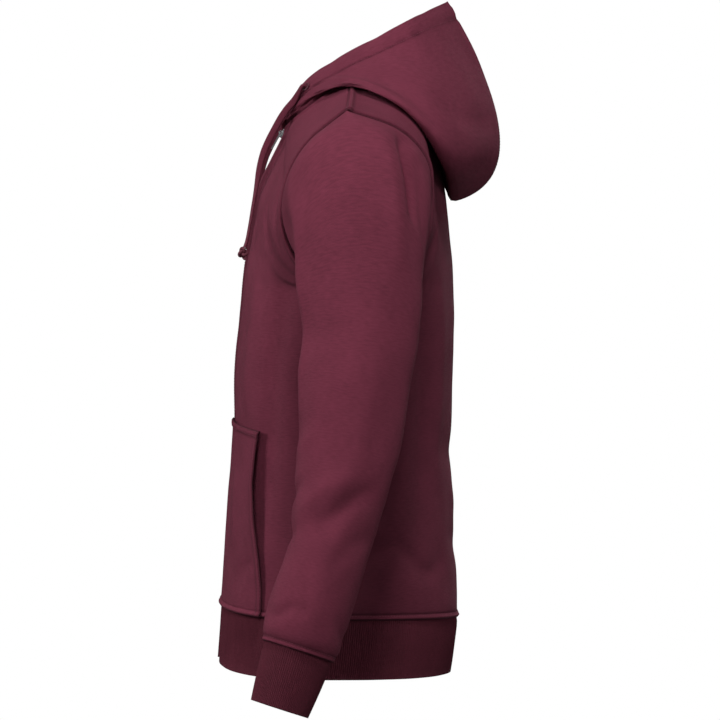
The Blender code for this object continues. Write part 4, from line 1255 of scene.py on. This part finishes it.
def makeZip():
    count = zipPart["rows"]
    across = (zipPart["centreGap"], 0.004, 0.008, zipPart["tapeHalf"])
    base = np.array([evenly(zipLine(x), np.linspace(0, 1, count)) for x in across]).transpose(1, 0, 2)
    normals = gridNormals(base)
    behind = np.where(np.arange(count) < zipPart["hemRows"], cloth["rib"], cloth["wall"])
    behind = smoothed(behind + cloth["seamGap"] + zipPart["behind"], zipPart["smoothing"])
    follow = placketLift(np.clip(base[..., 0] - cloth["zipHalfGap"], 0, None))
    tape = base + normals * (follow - behind[:, None])[..., None]
    tape[:, 0, 0] = zipPart["centreGap"]
    for side in ("left", "right"):
        shown = tape if side == "left" else flipped(tape)
        item = clothPiece("zip_tape_" + side + "_weave", "zip_tape_" + side, shown, tapeFinish,
                          zipPart["tapeThick"], zipPart["tapeEdge"])
    makeTeeth(tape[:, 0] * (0, 1, 1), normals[:, 0] * (0, 1, 1))
    print("zip made")


makeZip()
for nodeName, finish in (("zip_slider", metalFinish), ("zip_pull", metalFinish),
                         ("eyelet_left", enamelFinish), ("eyelet_right", enamelFinish)):
    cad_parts[nodeName].data.materials.clear()
    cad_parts[nodeName].data.materials.append(finish)


# Stitches: small raised lengths of thread, along every sewn line

def makeStitches():
    bm = bmesh.new()
    size = Matrix.Diagonal((thread["halfWidth"], thread["length"] / 2, thread["halfWidth"], 1))
    for path, facing in stitchLines:
        length = arcLengths(path)[-1]
        count = int(length / (thread["length"] + thread["gap"]))
        run = arcLengths(path) / length

        def valueAt(rows, share):
            return Vector([np.interp(share, run, rows[:, i]) for i in range(3)])

        for t in (np.arange(count) + 0.5) / count if count > 1 else ():
            way = valueAt(facing, t).normalized()
            ahead = (valueAt(path, t + 0.4 / count) - valueAt(path, t - 0.4 / count)).normalized()
            across = ahead.cross(way).normalized()
            turn = Matrix((across, ahead, across.cross(ahead))).transposed().to_4x4()
            place = Matrix.Translation(valueAt(path, t) + way * thread["sink"])
            bmesh.ops.create_icosphere(bm, subdivisions=1, radius=1, matrix=place @ turn @ size)
    for face in bm.faces:
        face.smooth = True
    mesh = meshFrom(bm, "stitching")
    mesh.uv_layers.new(name="UVMap")
    addPiece("stitching", mesh, threadFinish)
    print("stitches made:", len(mesh.polygons) // 20)


makeStitches()


# Floor and light

stage = {"floorDrop": 0.085, "floorRadius": 14.0, "floorGrey": 0.16, "backdrop": 1.0, "fill": 0.12}


# Shows the camera one shader, and the light another
def seenAndLit(tree, seen, lit, target):
    path = addNode(tree, "LightPath", {})
    mix = addNode(tree, "MixShader", {0: path.outputs["Is Camera Ray"], 1: lit.outputs[0], 2: seen.outputs[0]})
    tree.links.new(mix.outputs[0], tree.nodes[target].inputs["Surface"])


# The camera sees a floor that is lit up to the backdrop's white
def makeFloor():
    bm = bmesh.new()
    bmesh.ops.create_circle(bm, cap_ends=True, radius=stage["floorRadius"], segments=96,
                            matrix=Matrix.Translation((0, 0, cadLow[2] - stage["floorDrop"])))
    mesh = meshFrom(bm, "floor")
    item = addItem("floor", mesh)
    values = {"Base Color": (*[stage["floorGrey"]] * 3, 1), "Roughness": 0.9, "Specular IOR Level": 0.1}
    material, tree, shader = newMaterial("paleFloor", values)
    shine = addNode(tree, "Emission", {"Strength": stage["backdrop"]})
    seenAndLit(tree, shine, shader, "Material Output")
    mesh.materials.append(material)


def makeWorld():
    world = bpy.data.worlds.new("studio")
    bpy.context.scene.world = world
    world.use_nodes = True
    tree = world.node_tree
    seen = tree.nodes["Background"]
    seen.inputs["Color"].default_value = (1, 1, 1, 1)
    seen.inputs["Strength"].default_value = stage["backdrop"]
    lit = addNode(tree, "Background", {"Color": (1, 1, 1, 1), "Strength": stage["fill"]})
    seenAndLit(tree, seen, lit, "World Output")


def areaLight(name, place, target, size, power):
    data = bpy.data.lights.new(name, "AREA")
    data.shape = "RECTANGLE"
    data.size = data.size_y = size
    data.energy = power
    item = addItem(name, data)
    item.location = place
    item.rotation_euler = (Vector(target) - Vector(place)).to_track_quat("-Z", "Y").to_euler()


makeFloor()
makeWorld()
areaLight("key", (1.6, -4.0, 1.2), (0.1, 0, -0.3), 1.2, 102)
areaLight("side", (4.4, -0.8, 2.0), (0.1, 0, -0.3), 1.0, 66)
areaLight("top", (2.0, 0.4, 3.8), (0.2, 0, -0.1), 0.7, 108)
areaLight("back", (2.2, 3.4, 0.9), (0.1, 0, -0.2), 1.2, 25)
areaLight("right", (-3.8, 0.8, 1.6), (-0.1, 0, -0.3), 1.6, 70)
print("stage made")
